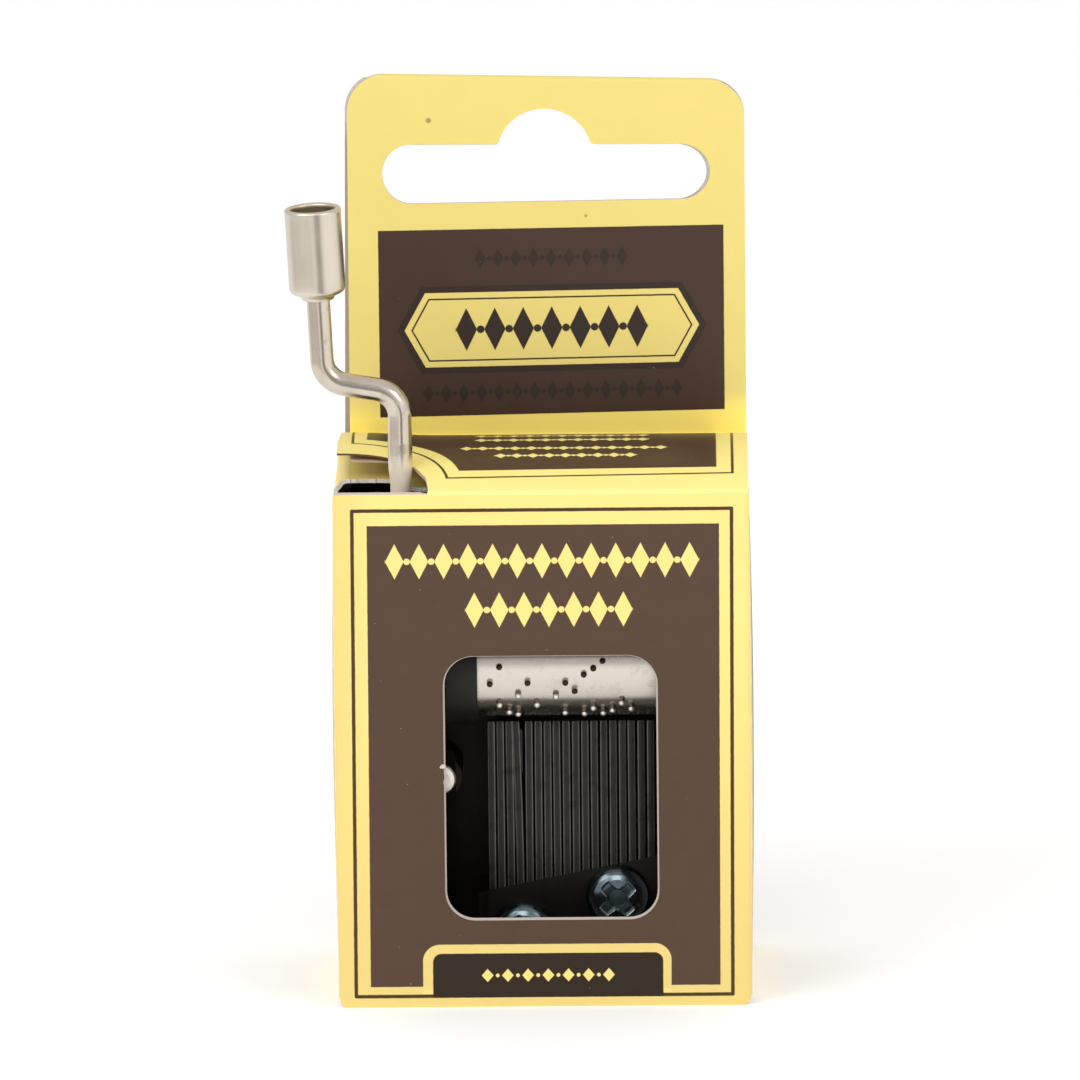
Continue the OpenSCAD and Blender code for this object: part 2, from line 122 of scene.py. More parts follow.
class Mat:
    def __init__(self, name, **sockets):
        self.m = bpy.data.materials.new(name)
        self.m.use_nodes = True
        self.t = self.m.node_tree
        self.b = self.t.nodes["Principled BSDF"]
        for k, v in sockets.items():
            self.b.inputs[k.replace("_", " ")].default_value = v

    def new(self, kind, **inputs):
        n = self.t.nodes.new("ShaderNode" + kind)
        for k, v in inputs.items():
            n.inputs[k.replace("_", " ")].default_value = v
        return n

    def link(self, a, b):
        self.t.links.new(a.s if isinstance(a, S) else a, b)

    def coords(self):
        n = self.new("TexCoord")
        return n.outputs["Object"]

    def xyz(self, vector=None):
        n = self.new("SeparateXYZ")
        self.link(vector if vector is not None else self.coords(), n.inputs[0])
        return [S(self.t, o) * 1000.0 for o in n.outputs]

    def attr(self, name):
        n = self.new("Attribute")
        n.attribute_name = name
        return n

    def stretch(self, sx, sy, sz, vector=None):
        n = self.new("Mapping")
        n.inputs["Scale"].default_value = (sx, sy, sz)
        self.link(vector if vector is not None else self.coords(), n.inputs["Vector"])
        return n.outputs[0]

    def noise(self, per_mm, vector=None, detail=3.0, rough=0.55, distortion=0.0):
        """Noise with about that many features in a millimetre, 0 to 1."""
        n = self.new("TexNoise", Scale=per_mm * 1000, Detail=detail, Roughness=rough, Distortion=distortion)
        self.link(vector if vector is not None else self.coords(), n.inputs["Vector"])
        return S(self.t, n.outputs[0])

    def voronoi(self, per_mm, vector=None, feature="F1", randomness=1.0):
        n = self.new("TexVoronoi", Scale=per_mm * 1000, Randomness=randomness)
        n.feature = feature
        self.link(vector if vector is not None else self.coords(), n.inputs["Vector"])
        return n

    def mix(self, fac, a, b, blend="MIX"):
        n = self.t.nodes.new("ShaderNodeMix")
        n.data_type, n.blend_type = "RGBA", blend
        for v, i in ((fac, 0), (a, 6), (b, 7)):
            if isinstance(v, S):
                self.link(v, n.inputs[i])
            elif isinstance(v, bpy.types.NodeSocket):
                self.link(v, n.inputs[i])
            else:
                n.inputs[i].default_value = v
        return n.outputs[2]

    def shade(self, colour, factor):
        """colour times a grey socket."""
        n = self.new("CombineXYZ")
        for i in range(3):
            self.link(factor, n.inputs[i])
        v = self.t.nodes.new("ShaderNodeVectorMath")
        v.operation = "MULTIPLY"
        if isinstance(colour, bpy.types.NodeSocket):
            self.link(colour, v.inputs[0])
        else:
            v.inputs[0].default_value = colour[:3]
        self.link(n.outputs[0], v.inputs[1])
        return v.outputs[0]

    def base(self, colour):
        self.link(colour, self.b.inputs["Base Color"])
        return self

    def rough(self, value):
        self.link(value, self.b.inputs["Roughness"])
        return self

    def bump(self, *layers):
        """Each layer is (height socket, depth in millimetres)."""
        last = None
        for height, depth in layers:
            n = self.new("Bump", Strength=1.0, Distance=depth * MM)
            self.link(height, n.inputs["Height"])
            if last is not None:
                self.link(last, n.inputs["Normal"])
            last = n.outputs[0]
        self.link(last, self.b.inputs["Normal"])
        return self


# ---------------------------------------------------------------- colours
YELLOW = lin(247, 217, 130)
YELLOW_TAB = lin(225, 205, 119)
BROWN = lin(80, 60, 46)
BROWN_TAB = lin(66, 47, 36)
PLATE = lin(43, 32, 20)
LINE = lin(72, 52, 24)
PALE = lin(252, 240, 196)
RAW = lin(190, 184, 176)

# ---------------------------------------------------------------- printed card
# The sheet's own coordinates are u, along the wrap, and t, up the sheet, in millimetres.
W2, D2, CARD = 22.0, 12.7, 0.45
VR = 0.5
LA = math.pi * VR / 2
U_F = W2 - VR
U_S0 = U_F + LA
U_S1 = U_S0 + 24.4
U_B0 = U_S1 + LA
U_B1 = U_B0 + U_F + W2
U_L1 = U_S0 + 23.9
U_G0 = U_L1 + LA
U_G1 = U_G0 + 10.0
FLAP_Z = 55.45
T_FT = FLAP_Z - VR
T_FB = 1.0
T_F0 = 55.88
R_TOP = 0.45


def crown(y):
    q = (y + D2) / (2 * D2)
    return 56.2 + 8.8 * q * (1 - q)


def strip_profile():
    """y, z and the tangent's angle along the strip of front, top panel and tab, at closely spaced s."""
    out = [(0.0, -D2, 0.0, 90.0), (T_F0, -D2, T_F0, 90.0)]
    marks = {"f0": T_F0}
    s = T_F0
    for k in range(1, 25):
        a = 70.9 * k / 24
        s = T_F0 + R_TOP * a * RAD
        out.append((s, -D2 + R_TOP * (1 - math.cos(a * RAD)), T_F0 + R_TOP * math.sin(a * RAD), 90 - a))
    marks["f1"] = s
    y0, y1 = out[-1][1], 11.473
    n = 200
    for k in range(1, n + 1):
        y = y0 + (y1 - y0) * k / n
        p = out[-1]
        z = crown(y)
        s += math.hypot(y - p[1], z - p[2])
        slope = 8.8 / (2 * D2) * (1 - 2 * (y + D2) / (2 * D2))
        out.append((s, y, z, math.degrees(math.atan(slope))))
    marks["c0"] = s
    rc, a0 = 0.25, out[-1][3]
    cy, cz = y1 - rc * math.sin(a0 * RAD), out[-1][2] + rc * math.cos(a0 * RAD)
    turn = 90 - a0
    for k in range(1, 25):
        a = a0 + turn * k / 24
        out.append((s + rc * turn * RAD * k / 24, cy + rc * math.sin(a * RAD), cz - rc * math.cos(a * RAD), a))
    s = out[-1][0]
    marks["c1"], marks["zc1"], marks["yt"] = s, out[-1][2], out[-1][1]
    s += 95.55 - out[-1][2]
    out.append((s, out[-1][1], 95.55, 90.0))
    marks["r0"] = s
    yt = out[-1][1]
    for k in range(1, 25):
        a = 180 * k / 24
        out.append((s + 0.45 * a * RAD, yt + 0.45 * (1 - math.cos(a * RAD)), 95.55 + 0.45 * math.sin(a * RAD), 90 - a))
    marks["r1"] = out[-1][0]
    return np.array(out), marks


PROF, MK = strip_profile()
Y_TAB = MK["yt"]
Z_TO_T = MK["c1"] - MK["zc1"]


def t_of_depth(d):
    """Sheet height on the top panel at depth d behind the front face."""
    m = (PROF[:, 0] >= MK["f1"]) & (PROF[:, 0] <= MK["c0"])
    return float(np.interp(d - D2, PROF[m, 1], PROF[m, 0]))


DEPTH_A = t_of_depth(2.0)
DEPTH_K = (t_of_depth(20.0) - DEPTH_A) / 18.0


def tab_slant(x, z):
    """The upright tab isn't quite square: how far its print and edges rise with x."""
    k = np.interp(z, [57.5, 59.2, 79.5, 82.6, 88.7, 95.9], [0.0, 0.0171, 0.0108, 0.0100, -0.0057, -0.0223])
    return z + k * x


def smooth(v):
    v = np.clip(v, 0, 1)
    return v * v * (3 - 2 * v)


def strip(u, t):
    y, z, a = (np.interp(t, PROF[:, 0], PROF[:, k]) for k in (1, 2, 3))
    on_tab = t > MK["c1"]
    # the top panel stands a little proud towards the back, most at its free left end
    lift = 0.25 * smooth((y + 3.0) / 11.0) + 0.38 * smooth((-11.0 - u) / 9.5) * smooth((y + 3.0) / 11.0)
    z2 = np.where(t > MK["c0"], z + lift * np.clip(1 - (z - 56.4) / 2.2, 0, 1), z + lift)
    z2 = np.where(on_tab, tab_slant(u, z2), z2)
    # at the right front corner the strip follows the front panel's fold
    c = np.clip((u - U_F) / VR, 0, math.pi / 2)
    k = 1 - smooth((t - T_F0) / 0.9)
    x = u + k * (np.minimum(u, U_F) + VR * np.sin(c) - u)
    y = y + k * VR * (1 - np.cos(c))
    p = np.stack([x, y, z2], 1)
    n = np.stack([0 * u, -np.sin(a * RAD), np.cos(a * RAD)], 1)
    return p, n


def bulge(y, z, top=T_FT, bottom=T_FB):
    a = np.clip((z - bottom) / (top - bottom), 0, 1)
    b = np.clip((y + 12.2) / 24.4, 0, 1)
    return 0.30 * np.sin(math.pi * a) ** 0.9 * np.sin(math.pi * b) ** 0.6


def side(sgn):
    def f(u, t):
        y = np.abs(u) - U_S0 - 12.2
        # the left flap folds over in a broad curve, the other folds are tight
        r = VR + (1.0 * smooth((y + 6.4) / 3.2) * smooth((11.4 - y) / 1.6) if sgn < 0 else 0.0 * y)
        t_f = FLAP_Z - r
        up, dn = np.clip((t - t_f) / r, 0, math.pi / 2), np.clip((T_FB - t) / VR, 0, math.pi / 2)
        over, under = np.maximum(t - t_f - r * math.pi / 2, 0), np.maximum(T_FB - LA - t, 0)
        z = np.where(t > t_f, t_f + r * np.sin(up), np.where(t < T_FB, T_FB - VR * np.sin(dn), t))
        x = W2 - np.where(t > t_f, r * (1 - np.cos(up)), VR * (1 - np.cos(dn))) - over - under + bulge(y, z) * (1.35 if sgn > 0 else 1.7)
        # the flaps sag a little where nothing holds them
        z = z - 0.25 * np.clip(over / 13, 0, 1) ** 2
        return np.stack([sgn * x, y, z], 1)
    return f


def loop(u, t):
    """Front and the two front folds."""
    a = np.clip((np.abs(u) - U_F) / VR, 0, math.pi / 2)
    x = np.sign(u) * (np.minimum(np.abs(u), U_F) + VR * np.sin(a))
    y = -D2 + VR * (1 - np.cos(a))
    return np.stack([x, y, t], 1)


def back(u, t):
    a = np.clip((U_B0 - u) / VR, 0, math.pi / 2)
    x = np.where(u > U_B0, U_F - (u - U_B0), U_F + VR * np.sin(a))
    y = D2 - VR * (1 - np.cos(a))
    high = t > 56.6
    x = np.where(high, U_F - (u - U_B0), x)
    y = np.where(high, D2, y)
    z = np.where(t > 57.5, tab_slant(x, t), t)
    return np.stack([x, y, z], 1)


def glue(u, t):
    v = -u
    a = np.clip((v - U_L1) / VR, 0, math.pi / 2)
    x = -(W2 - VR * (1 - np.cos(a)) - np.maximum(v - U_G0, 0))
    y = np.where(v < U_L1, v - U_S0 - 12.2, 11.7 + VR * np.sin(a))
    return np.stack([x, y, t], 1)


def with_normals(f):
    def g(u, t):
        e = 0.004
        p = f(u, t)
        n = np.cross(f(u + e, t) - f(u - e, t), f(u, t + e) - f(u, t - e))
        return p, n / np.maximum(np.linalg.norm(n, axis=1), 1e-12)[:, None]
    return g


def arc(cx, cy, r, a0, a1, n=10):
    return [(cx + r * math.cos(a * RAD), cy + r * math.sin(a * RAD)) for a in np.linspace(a0, a1, n + 1)]


def dense(poly, step, closed=True):
    out = []
    n = len(poly)
    for i in range(n if closed else n - 1):
        a, b = np.array(poly[i], float), np.array(poly[(i + 1) % n], float)
        k = max(1, int(math.ceil(np.linalg.norm(b - a) / step)))
        out += [tuple(a + (b - a) * j / k) for j in range(k)]
    if not closed:
        out.append(tuple(poly[-1]))
    return out


def ragged(poly, amount, seed):
    """Moves points a little, as a torn or bluntly cut edge has them."""
    r = np.random.default_rng(seed)
    return [(x + r.normal(0, amount), y + r.normal(0, amount)) for x, y in poly]


def contains(poly, pts):
    inside = np.zeros(len(pts), bool)
    x, y = pts[:, 0], pts[:, 1]
    a = np.array(poly)
    b = np.roll(a, -1, 0)
    for (x0, y0), (x1, y1) in zip(a, b):
        if y0 == y1:
            continue
        cross = ((y0 > y) != (y1 > y)) & (x < (x1 - x0) * (y - y0) / (y1 - y0) + x0)
        inside ^= cross
    return inside


def triangulate(outline, holes, lines, step=2.2, clear=0.45):
    """Triangles inside the outline and outside the holes, with the lines kept as edges. Returns points and triangles, counter-clockwise."""
    pts, edges = [], []

    def add(poly, closed):
        first = len(pts)
        pts.extend(poly)
        for i in range(len(poly) - 1):
            edges.append((first + i, first + i + 1))
        if closed:
            edges.append((first + len(poly) - 1, first))

    add(outline, True)
    for h in holes:
        add(h, True)
    for a, b in lines:
        add(dense([a, b], 1.3, closed=False), False)
    fixed = np.array(pts)
    lo, hi = fixed.min(0), fixed.max(0)
    gx, gy = np.meshgrid(np.arange(lo[0] + 0.3, hi[0], step), np.arange(lo[1] + 0.3, hi[1], step))
    gx[::2] += step / 2
    grid = np.stack([gx.ravel(), gy.ravel()], 1)
    ok = contains(outline, grid)
    for h in holes:
        ok &= ~contains(h, grid)
    grid = grid[ok]
    segs = np.array([(fixed[a], fixed[b]) for a, b in edges])
    a, d = segs[:, 0], segs[:, 1] - segs[:, 0]
    dd = np.maximum((d * d).sum(1), 1e-12)
    keep = []
    for p in grid:
        w = np.clip(((p - a) * d).sum(1) / dd, 0, 1)
        if np.hypot(*((a + d * w[:, None]) - p).T).min() > clear:
            keep.append(tuple(p))
    pts += keep
    v, _, f, _, _, _ = delaunay_2d_cdt([Vector(p) for p in pts], edges, [], 0, 1e-5)
    v = np.array([(p.x, p.y) for p in v])
    f = np.array([t for t in f if len(t) == 3])
    c = v[f].mean(1)
    ok = contains(outline, c)
    for h in holes:
        ok &= ~contains(h, c)
    f = f[ok]
    e1, e2 = v[f[:, 1]] - v[f[:, 0]], v[f[:, 2]] - v[f[:, 0]]
    area = e1[:, 0] * e2[:, 1] - e1[:, 1] * e2[:, 0]
    f[area < 0] = f[area < 0][:, ::-1]
    return v, f[np.abs(area) > 1e-7]


def card_mesh(name, v2, tris, mapf, mats, thick=CARD, bevel=None):
    """A closed sheet of card: printed face, raw inner face and cut edges. mats are (printed, raw face, edge)."""
    used, inv = np.unique(tris, return_inverse=True)
    v2, tris = v2[used], inv.reshape(tris.shape)
    p, n = mapf(v2[:, 0].astype(float), v2[:, 1].astype(float))
    th = thick(v2) if callable(thick) else thick
    q = p - n * (th[:, None] if isinstance(th, np.ndarray) else th)
    k = len(p)
    directed = {}
    for a, b, c in tris:
        for e in ((a, b), (b, c), (c, a)):
            directed[e] = True
    rim = [e for e in directed if (e[1], e[0]) not in directed]
    if bevel is not None:
        # a die-cut edge isn't quite square: its inner side stands out
        amount = bevel(v2)
        push = np.zeros_like(p)
        for a, b in rim:
            m = np.cross(p[b] - p[a], n[a] + n[b])
            m = m / max(np.linalg.norm(m), 1e-12)
            push[a] += m
            push[b] += m
        q = q + push / np.maximum(np.linalg.norm(push, axis=1), 1e-9)[:, None] * amount[:, None]
    faces = [tuple(int(i) for i in t) for t in tris]
    faces += [tuple(int(i) + k for i in t[::-1]) for t in tris]
    faces += [(int(b), int(a), int(a) + k, int(b) + k) for a, b in rim]
    me = bpy.data.meshes.new(name)
    co = np.concatenate([p, q]) * MM
    me.from_pydata([tuple(c) for c in co], [], faces)
    nt = len(tris)
    index = np.array([0] * nt + [1] * nt + [2] * len(rim), np.int32)
    me.polygons.foreach_set("material_index", index)
    me.polygons.foreach_set("use_smooth", np.ones(len(faces), bool))
    # wall normals, smoothed round curves
    wall = {}
    wn = []
    for a, b in rim:
        m = np.cross(p[b] - p[a], (p[a] - q[a]) + (p[b] - q[b]))
        m = m / max(np.linalg.norm(m), 1e-12)
        wn.append(m)
        wall.setdefault(a, []).append(m)
        wall.setdefault(b, []).append(m)
    normals = []
    for t in tris:
        normals += [n[i] for i in t]
    for t in tris:
        normals += [-n[i] for i in t[::-1]]
    for (a, b), m in zip(rim, wn):
        def soft(i):
            near = [w for w in wall[i] if w @ m > 0.8]
            s = sum(near)
            return s / max(np.linalg.norm(s), 1e-12)
        sb, sa = soft(b), soft(a)
        normals += [sb, sa, sa, sb]
    at = me.attributes.new("sheet", "FLOAT_VECTOR", "POINT")
    uv = np.zeros((2 * k, 3), np.float32)
    uv[:k, :2] = v2
    uv[k:, :2] = v2
    at.data.foreach_set("vector", uv.ravel())
    me.validate(clean_customdata=False)
    me.normals_split_custom_set([tuple(x) for x in normals])
    ob = bpy.data.objects.new(name, me)
    bpy.context.scene.collection.objects.link(ob)
    for m in mats:
        me.materials.append(m)
    return ob


# ---- card materials
def card_print(name, pattern, yellow=YELLOW, brown=BROWN, tint=None):
    """pattern(m, x, t) returns (ink, colour) pairs laid over the yellow, in order."""
    m = Mat(name, IOR=1.46)
    m.b.inputs["Specular IOR Level"].default_value = 0.26
    a = m.attr("sheet")
    sep = m.new("SeparateXYZ")
    m.link(a.outputs["Vector"], sep.inputs[0])
    u, t = S(m.t, sep.outputs[0]), S(m.t, sep.outputs[1])
    # ink edges wander by a few hundredths of a millimetre
    wander = m.noise(1.6, detail=1.0) - 0.5
    u2, t2 = u + wander * 0.05, t + wander * 0.04
    mottle = m.noise(0.22, detail=4.0)
    fine = m.noise(5.0, detail=2.0)
    colour = m.shade(yellow, (mottle - 0.5) * 0.05 + (fine - 0.5) * 0.035 + 1.0)
    if tint is not None:
        colour = m.mix(tint[0](u, t), colour, tint[1])
    inked = None
    for ink, c in pattern(m, u2, t2):
        body = m.shade(c, (m.noise(0.5, detail=5.0) - 0.5) * 0.16 + (m.noise(9.0, detail=1.0) - 0.5) * 0.16 + 1.0) if c is not yellow else m.shade(c, (fine - 0.5) * 0.05 + 1.0)
        colour = m.mix(ink, colour, body)
        inked = ink if inked is None else inked.max(ink)
    # a few light specks where the ink missed
    specks = m.voronoi(0.55)
    pin = (S(m.t, specks.outputs["Distance"]) - 0.035).inside(0.012) * (m.noise(0.4) - 0.52).op("GREATER_THAN", 0.0)
    colour = m.mix(pin * 0.22, colour, PALE)
    m.base(colour)
    m.rough((mottle - 0.5) * 0.10 + (fine - 0.5) * 0.06 + 0.40)
    m.bump((fine, 0.006), (m.noise(0.35, detail=2.0), 0.05))
    return m


def beads(x, y, x0, x1, step, a, b, dot):
    """A traditional bead row between x0 and x1: lozenges with a dot between each two. Signed distance."""
    mid = (x0 + x1) / 2
    lx = (x - mid).cell(step)
    dx = (x - mid + step / 2).cell(step)
    d = lozenge(lx, y, a, b).min(disc(dx, y, dot))
    half = math.floor(((x1 - x0) / 2 - a) / step) * step + a + 0.02
    return d.max((x - mid).abs() - half)


def front_pattern(m, u, t):
    x = u - (t - 27.7) * 0.004
    frame_d = rect(x, t, -20.05, 1.21, 20.03, 54.22)
    line = (frame_d.abs() - 0.195).inside()
    field = rect(x, t, -18.5, 2.25, 18.72, 52.6)
    band = rect(x, t, -12.91, -6.0, 13.5, 6.86, 1.8)
    plate = rect(x, t, -11.86, -4.0, 12.64, 5.87, 0.95).max((t - 1.05) * -1.0)
    rows = beads(x, t - 48.7, -16.9, 16.9, 2.6, 0.98, 1.9, 0.34)
    rows = rows.min(beads(x - 0.7, t - 43.4, -10.5, 10.5, 2.625, 0.98, 1.9, 0.34))
    rows2 = beads(x - 0.4, t - 3.45, -8.6, 8.6, 2.15, 0.62, 0.72, 0.2)
    return [
        (line, LINE),
        (field.max(band * -1.0).max(rows * -1.0).inside(), BROWN),
        (band.inside() * (t - 1.9).op("LESS_THAN", 0.0) * (t - 1.45).op("GREATER_THAN", 0.0), YELLOW),
        (plate.inside(), PLATE),
        (rows2.inside(), YELLOW),
    ]


def top_pattern(m, u, t):
    d = (t - DEPTH_A) / DEPTH_K + 2.0
    x = u
    low = d - 3.15 - x * 0.023
    ring = disc(x + 22.5, d - 1.0, 12.75) * -1.0
    frame_d = (low * -1.0).max((x - 0.1).abs() - 20.18).max(ring)
    line = (frame_d.abs() - 0.15).inside(0.05)
    low2 = d - 4.75 - x * 0.018
    ring2 = disc(x + 22.5, d - 1.4, 14.2) * -1.0
    field = (low2 * -1.0).max((x - 0.0).abs() - 18.6).max(ring2)
    r = beads(x - 2.6, d - 8.7, -8.6, 8.6, 1.72, 0.66, 0.72, 0.26)
    r = r.min(beads(x - 2.4, d - 11.3, -12.0, 12.0, 1.72, 0.66, 0.72, 0.26))
    r = r.min(beads(x - 2.2, d - 15.0, -9.4, 9.4, 1.72, 0.66, 0.85, 0.3))
    r = r.min(beads(x - 2.2, d - 17.8, -9.4, 9.4, 1.72, 0.66, 0.85, 0.3))
    return [(line, LINE), (field.max(r * -1.0).inside(0.05), BROWN)]


def tab_pattern(m, u, t):
    z = t - Z_TO_T
    x = u
    field = rect(x, z, -17.35, 59.2, 19.6, 79.53)
    cx = x - 1.15
    # a plain straight-sided label with pointed ends, its ground yellow, with a dark line round it
    hexa = ((z - 68.6).abs() - 3.9).max((cx.abs() + (z - 68.6).abs() * 0.55 - 15.6) * 0.876)
    inner = beads(cx, z - 68.6, -12.2, 12.2, 3.05, 1.15, 2.35, 0.42)
    over = beads(cx, z - 76.3, -9.5, 9.5, 1.9, 0.6, 1.05, 0.26)
    under = beads(cx, z - 61.7, -14.2, 14.2, 1.9, 0.6, 1.05, 0.26)
    dark = lin(50, 38, 31)
    speck = disc(x + 11.8, z - 91.2, 0.28).min(disc(x - 4.9, z - 80.75, 0.16))
    return [
        (field.inside(), BROWN_TAB),
        (over.min(under).inside(), dark),
        ((hexa - 0.85).inside(), dark),
        ((hexa - 0.15).inside(), YELLOW_TAB),
        ((hexa + 0.55).abs().op("SUBTRACT", 0.09).inside(), dark),
        (inner.inside(), dark),
        (speck.inside(0.08) * 0.55, BROWN_TAB),
    ]


def side_pattern(sgn):
    def f(m, u, t):
        y = u * sgn - (U_S0 + 12.2)
        frame_d = rect(y, t, -10.6, 2.4, 10.6, 53.4)
        field = rect(y, t, -9.1, 3.9, 9.1, 51.9)
        rows = beads(y, t - 46.6, -6.6, 6.6, 2.2, 0.8, 1.3, 0.28)
        rows = rows.min(beads(y, t - 9.2, -6.6, 6.6, 2.2, 0.8, 1.3, 0.28))
        big = lozenge(y, t - 27.9, 6.2, 9.8)
        ring = (big.abs() - 0.32).min(((big + 1.7).abs() - 0.16)).min(lozenge(y, t - 27.9, 1.5, 2.5))
        return [((frame_d.abs() - 0.17).inside(), LINE), (field.max(rows * -1.0).max(ring * -1.0).inside(), BROWN)]
    return f


def back_pattern(m, u, t):
    x = U_F - (u - U_B0)
    frame_d = rect(x, t, -20.0, 2.6, 20.0, 53.6)
    field = rect(x, t, -18.5, 4.1, 18.5, 52.1)
    rows = beads(x, t - 47.2, -15.2, 15.2, 2.2, 0.8, 1.3, 0.28)
    rows = rows.min(beads(x, t - 9.0, -15.2, 15.2, 2.2, 0.8, 1.3, 0.28))
    big = lozenge(x, t - 28.1, 13.6, 11.8)
    ring = (big.abs() - 0.32).min(((big + 1.9).abs() - 0.16)).min(lozenge(x, t - 28.1, 3.4, 2.95))
    tab = rect(x, t, -17.6, 60.2, 17.9, 79.4)
    trow = beads(x, t - 69.8, -14.0, 14.0, 2.8, 1.05, 2.1, 0.36)
    return [
        ((frame_d.abs() - 0.17).inside(), LINE),
        (field.max(rows * -1.0).max(ring * -1.0).inside(), BROWN),
        (tab.max(trow * -1.0).inside(), BROWN_TAB),
    ]


def bottom_pattern(m, u, t):
    frame_d = rect(u, t, -19.6, 3.4, 19.6, 22.4)
    row = beads(u, t - 12.9, -12.0, 12.0, 2.4, 0.85, 1.4, 0.3)
    return [((frame_d.abs() - 0.17).inside(), LINE), (row.inside(), LINE)]


def plain_pattern(m, u, t):
    return [((u * 0.0 + 1.0) * 0.0, LINE)]


def raw_card(name, colour, streaks=False):
    m = Mat(name, IOR=1.45)
    m.b.inputs["Specular IOR Level"].default_value = 0.25
    fibre = m.noise(1.4, vector=m.stretch(1, 1, 0.35), detail=6.0, rough=0.7)
    fine = m.noise(7.0, detail=3.0)
    m.base(m.shade(colour, (fibre - 0.5) * 0.22 + (fine - 0.5) * 0.18 + 1.0))
    m.rough((fine - 0.5) * 0.1 + 0.82)
    m.bump((fibre, 0.03), (fine, 0.02))
    return m.m


RAW_IN = raw_card("raw_card_inside", lin(196, 190, 180))
RAW_EDGE = raw_card("raw_card_edge", lin(204, 192, 182))
RAW_TAN = raw_card("raw_card_edge_tan", lin(196, 168, 138))


def cut_edge():
    """The crank cut-out's edge: pinkish where it was cut last, painted dark brown at the left as painted shade."""
    m = Mat("raw_card_edge_cut_out", IOR=1.45)
    m.b.inputs["Specular IOR Level"].default_value = 0.2
    x = m.xyz()[0]
    fine = m.noise(5.0, detail=3.0)
    m.base(m.shade(m.mix(x.ramp(-15.5, -13.0), lin(104, 78, 54), lin(206, 182, 160)), (fine - 0.5) * 0.3 + 1.0))
    m.rough((fine - 0.5) * 0.1 + 0.8)
    m.bump((fine, 0.03))
    return m.m


RAW_CUT = cut_edge()


def back_edge(name, grey, darker_slot_end):
    """The rear layer: darker grey along its left edge below the corner, and darker brown towards the right where the
    slot goes through.
    """
    m = Mat(name, IOR=1.45)
    m.b.inputs["Specular IOR Level"].default_value = 0.2
    x, _, z = m.xyz()
    fine = m.noise(5.0, detail=3.0)
    darker_left_edge = m.mix(x.ramp(-18.2, -19.2) * z.ramp(92.0, 88.5), grey, lin(166, 154, 134))
    m.base(m.shade(m.mix(x.ramp(8.0, 15.0) * darker_slot_end, darker_left_edge, lin(128, 98, 70)), (fine - 0.5) * 0.3 + 1.0))
    m.rough((fine - 0.5) * 0.1 + 0.8)
    m.bump((fine, 0.03))
    return m.m


RAW_REAR = back_edge("raw_card_edge_rear", lin(204, 192, 182), 1.0)
RAW_REAR_IN = back_edge("raw_card_inside_rear", lin(196, 190, 180), 0.0)
# painted light: the left dust flap's raw edge is near-white, lighter than the other raw edges, where it lies in shade
RAW_FLAP = raw_card("raw_card_edge_flap", lin(238, 230, 218))


# painted light: the tab's yellow turns lighter and warmer near its foot, against the shade at the fold
def painted_light_tab_foot(u, t):
    return (t - Z_TO_T).ramp(61.5, 58.6)


# painted shade: the front's yellow darkens towards the bottom and towards the left edge
def painted_shade_low_left(u, t):
    return (t.ramp(44.0, 6.0) * 0.45).max(u.ramp(-17.0, -22.0) * 0.40)


M_FRONT = card_print("print_front", front_pattern, tint=(painted_shade_low_left, lin(202, 184, 114)))
# painted light: the top panel's yellow is lighter than the front's, for a face that looks up
M_TOP = card_print("print_top", top_pattern, yellow=lin(254, 236, 144), brown=lin(92, 70, 54))
M_TAB = card_print("print_tab", tab_pattern, yellow=YELLOW_TAB, tint=(painted_light_tab_foot, lin(255, 230, 116)))
M_SIDE_R = card_print("print_side_right", side_pattern(1.0))
M_SIDE_L = card_print("print_side_left", side_pattern(-1.0))
M_BACK = card_print("print_back", back_pattern)
M_BOTTOM = card_print("print_bottom", bottom_pattern)
M_FLAP = card_print("print_flap", plain_pattern, yellow=lin(236, 214, 120))

# ---- the blank's outline
US = lambda y: U_S0 + 12.2 + y            # right side: u at depth y
UL = lambda y: -(U_S0 + 12.2 + y)         # left side
UB = lambda x: U_B0 + U_F - x             # back: u at x
T_END_B = T_FB - LA - (W2 - VR - 3.2)     # ends of the bottom dust flaps
T_END_T = T_FT + LA + (W2 - VR - 8.2)     # ends of the top dust flaps
T_END_L = T_END_T - 0.43
TX0, TX1, TR = -20.50, 21.9, 4.1
TZ = 96.0 - TR


def tab_edge(x_centre, sgn):
    """The tab's rounded corner carried over the fold at its top, in sheet coordinates, going up."""
    out = []
    for z in np.linspace(TZ, 95.55, 14):
        out.append((x_centre + sgn * math.sqrt(max(TR**2 - (z - TZ) ** 2, 0)), z + Z_TO_T))
    for a in np.linspace(0, 180, 21)[1:]:
        z = 95.55 + 0.45 * math.sin(a * RAD)
        out.append((x_centre + sgn * math.sqrt(max(TR**2 - (min(z, 95.999) - TZ) ** 2, 0)), MK["r0"] + 0.45 * a * RAD))
    return out


def cut_out():
    """The crank's cut-out on the top panel, from its left rear end to the front fold."""
    pts = [(-21.6 + 9.83 * math.cos(a * RAD), 9.83 * math.sin(a * RAD)) for a in np.linspace(90.6, 21.5, 34)]
    pts += [(-12.28, 3.35), (-12.12, 2.7), (-11.98, 1.7), (-11.9, 0.9), (-11.88, 0.35)]
    return [(x, t_of_depth(d)) for x, d in pts]


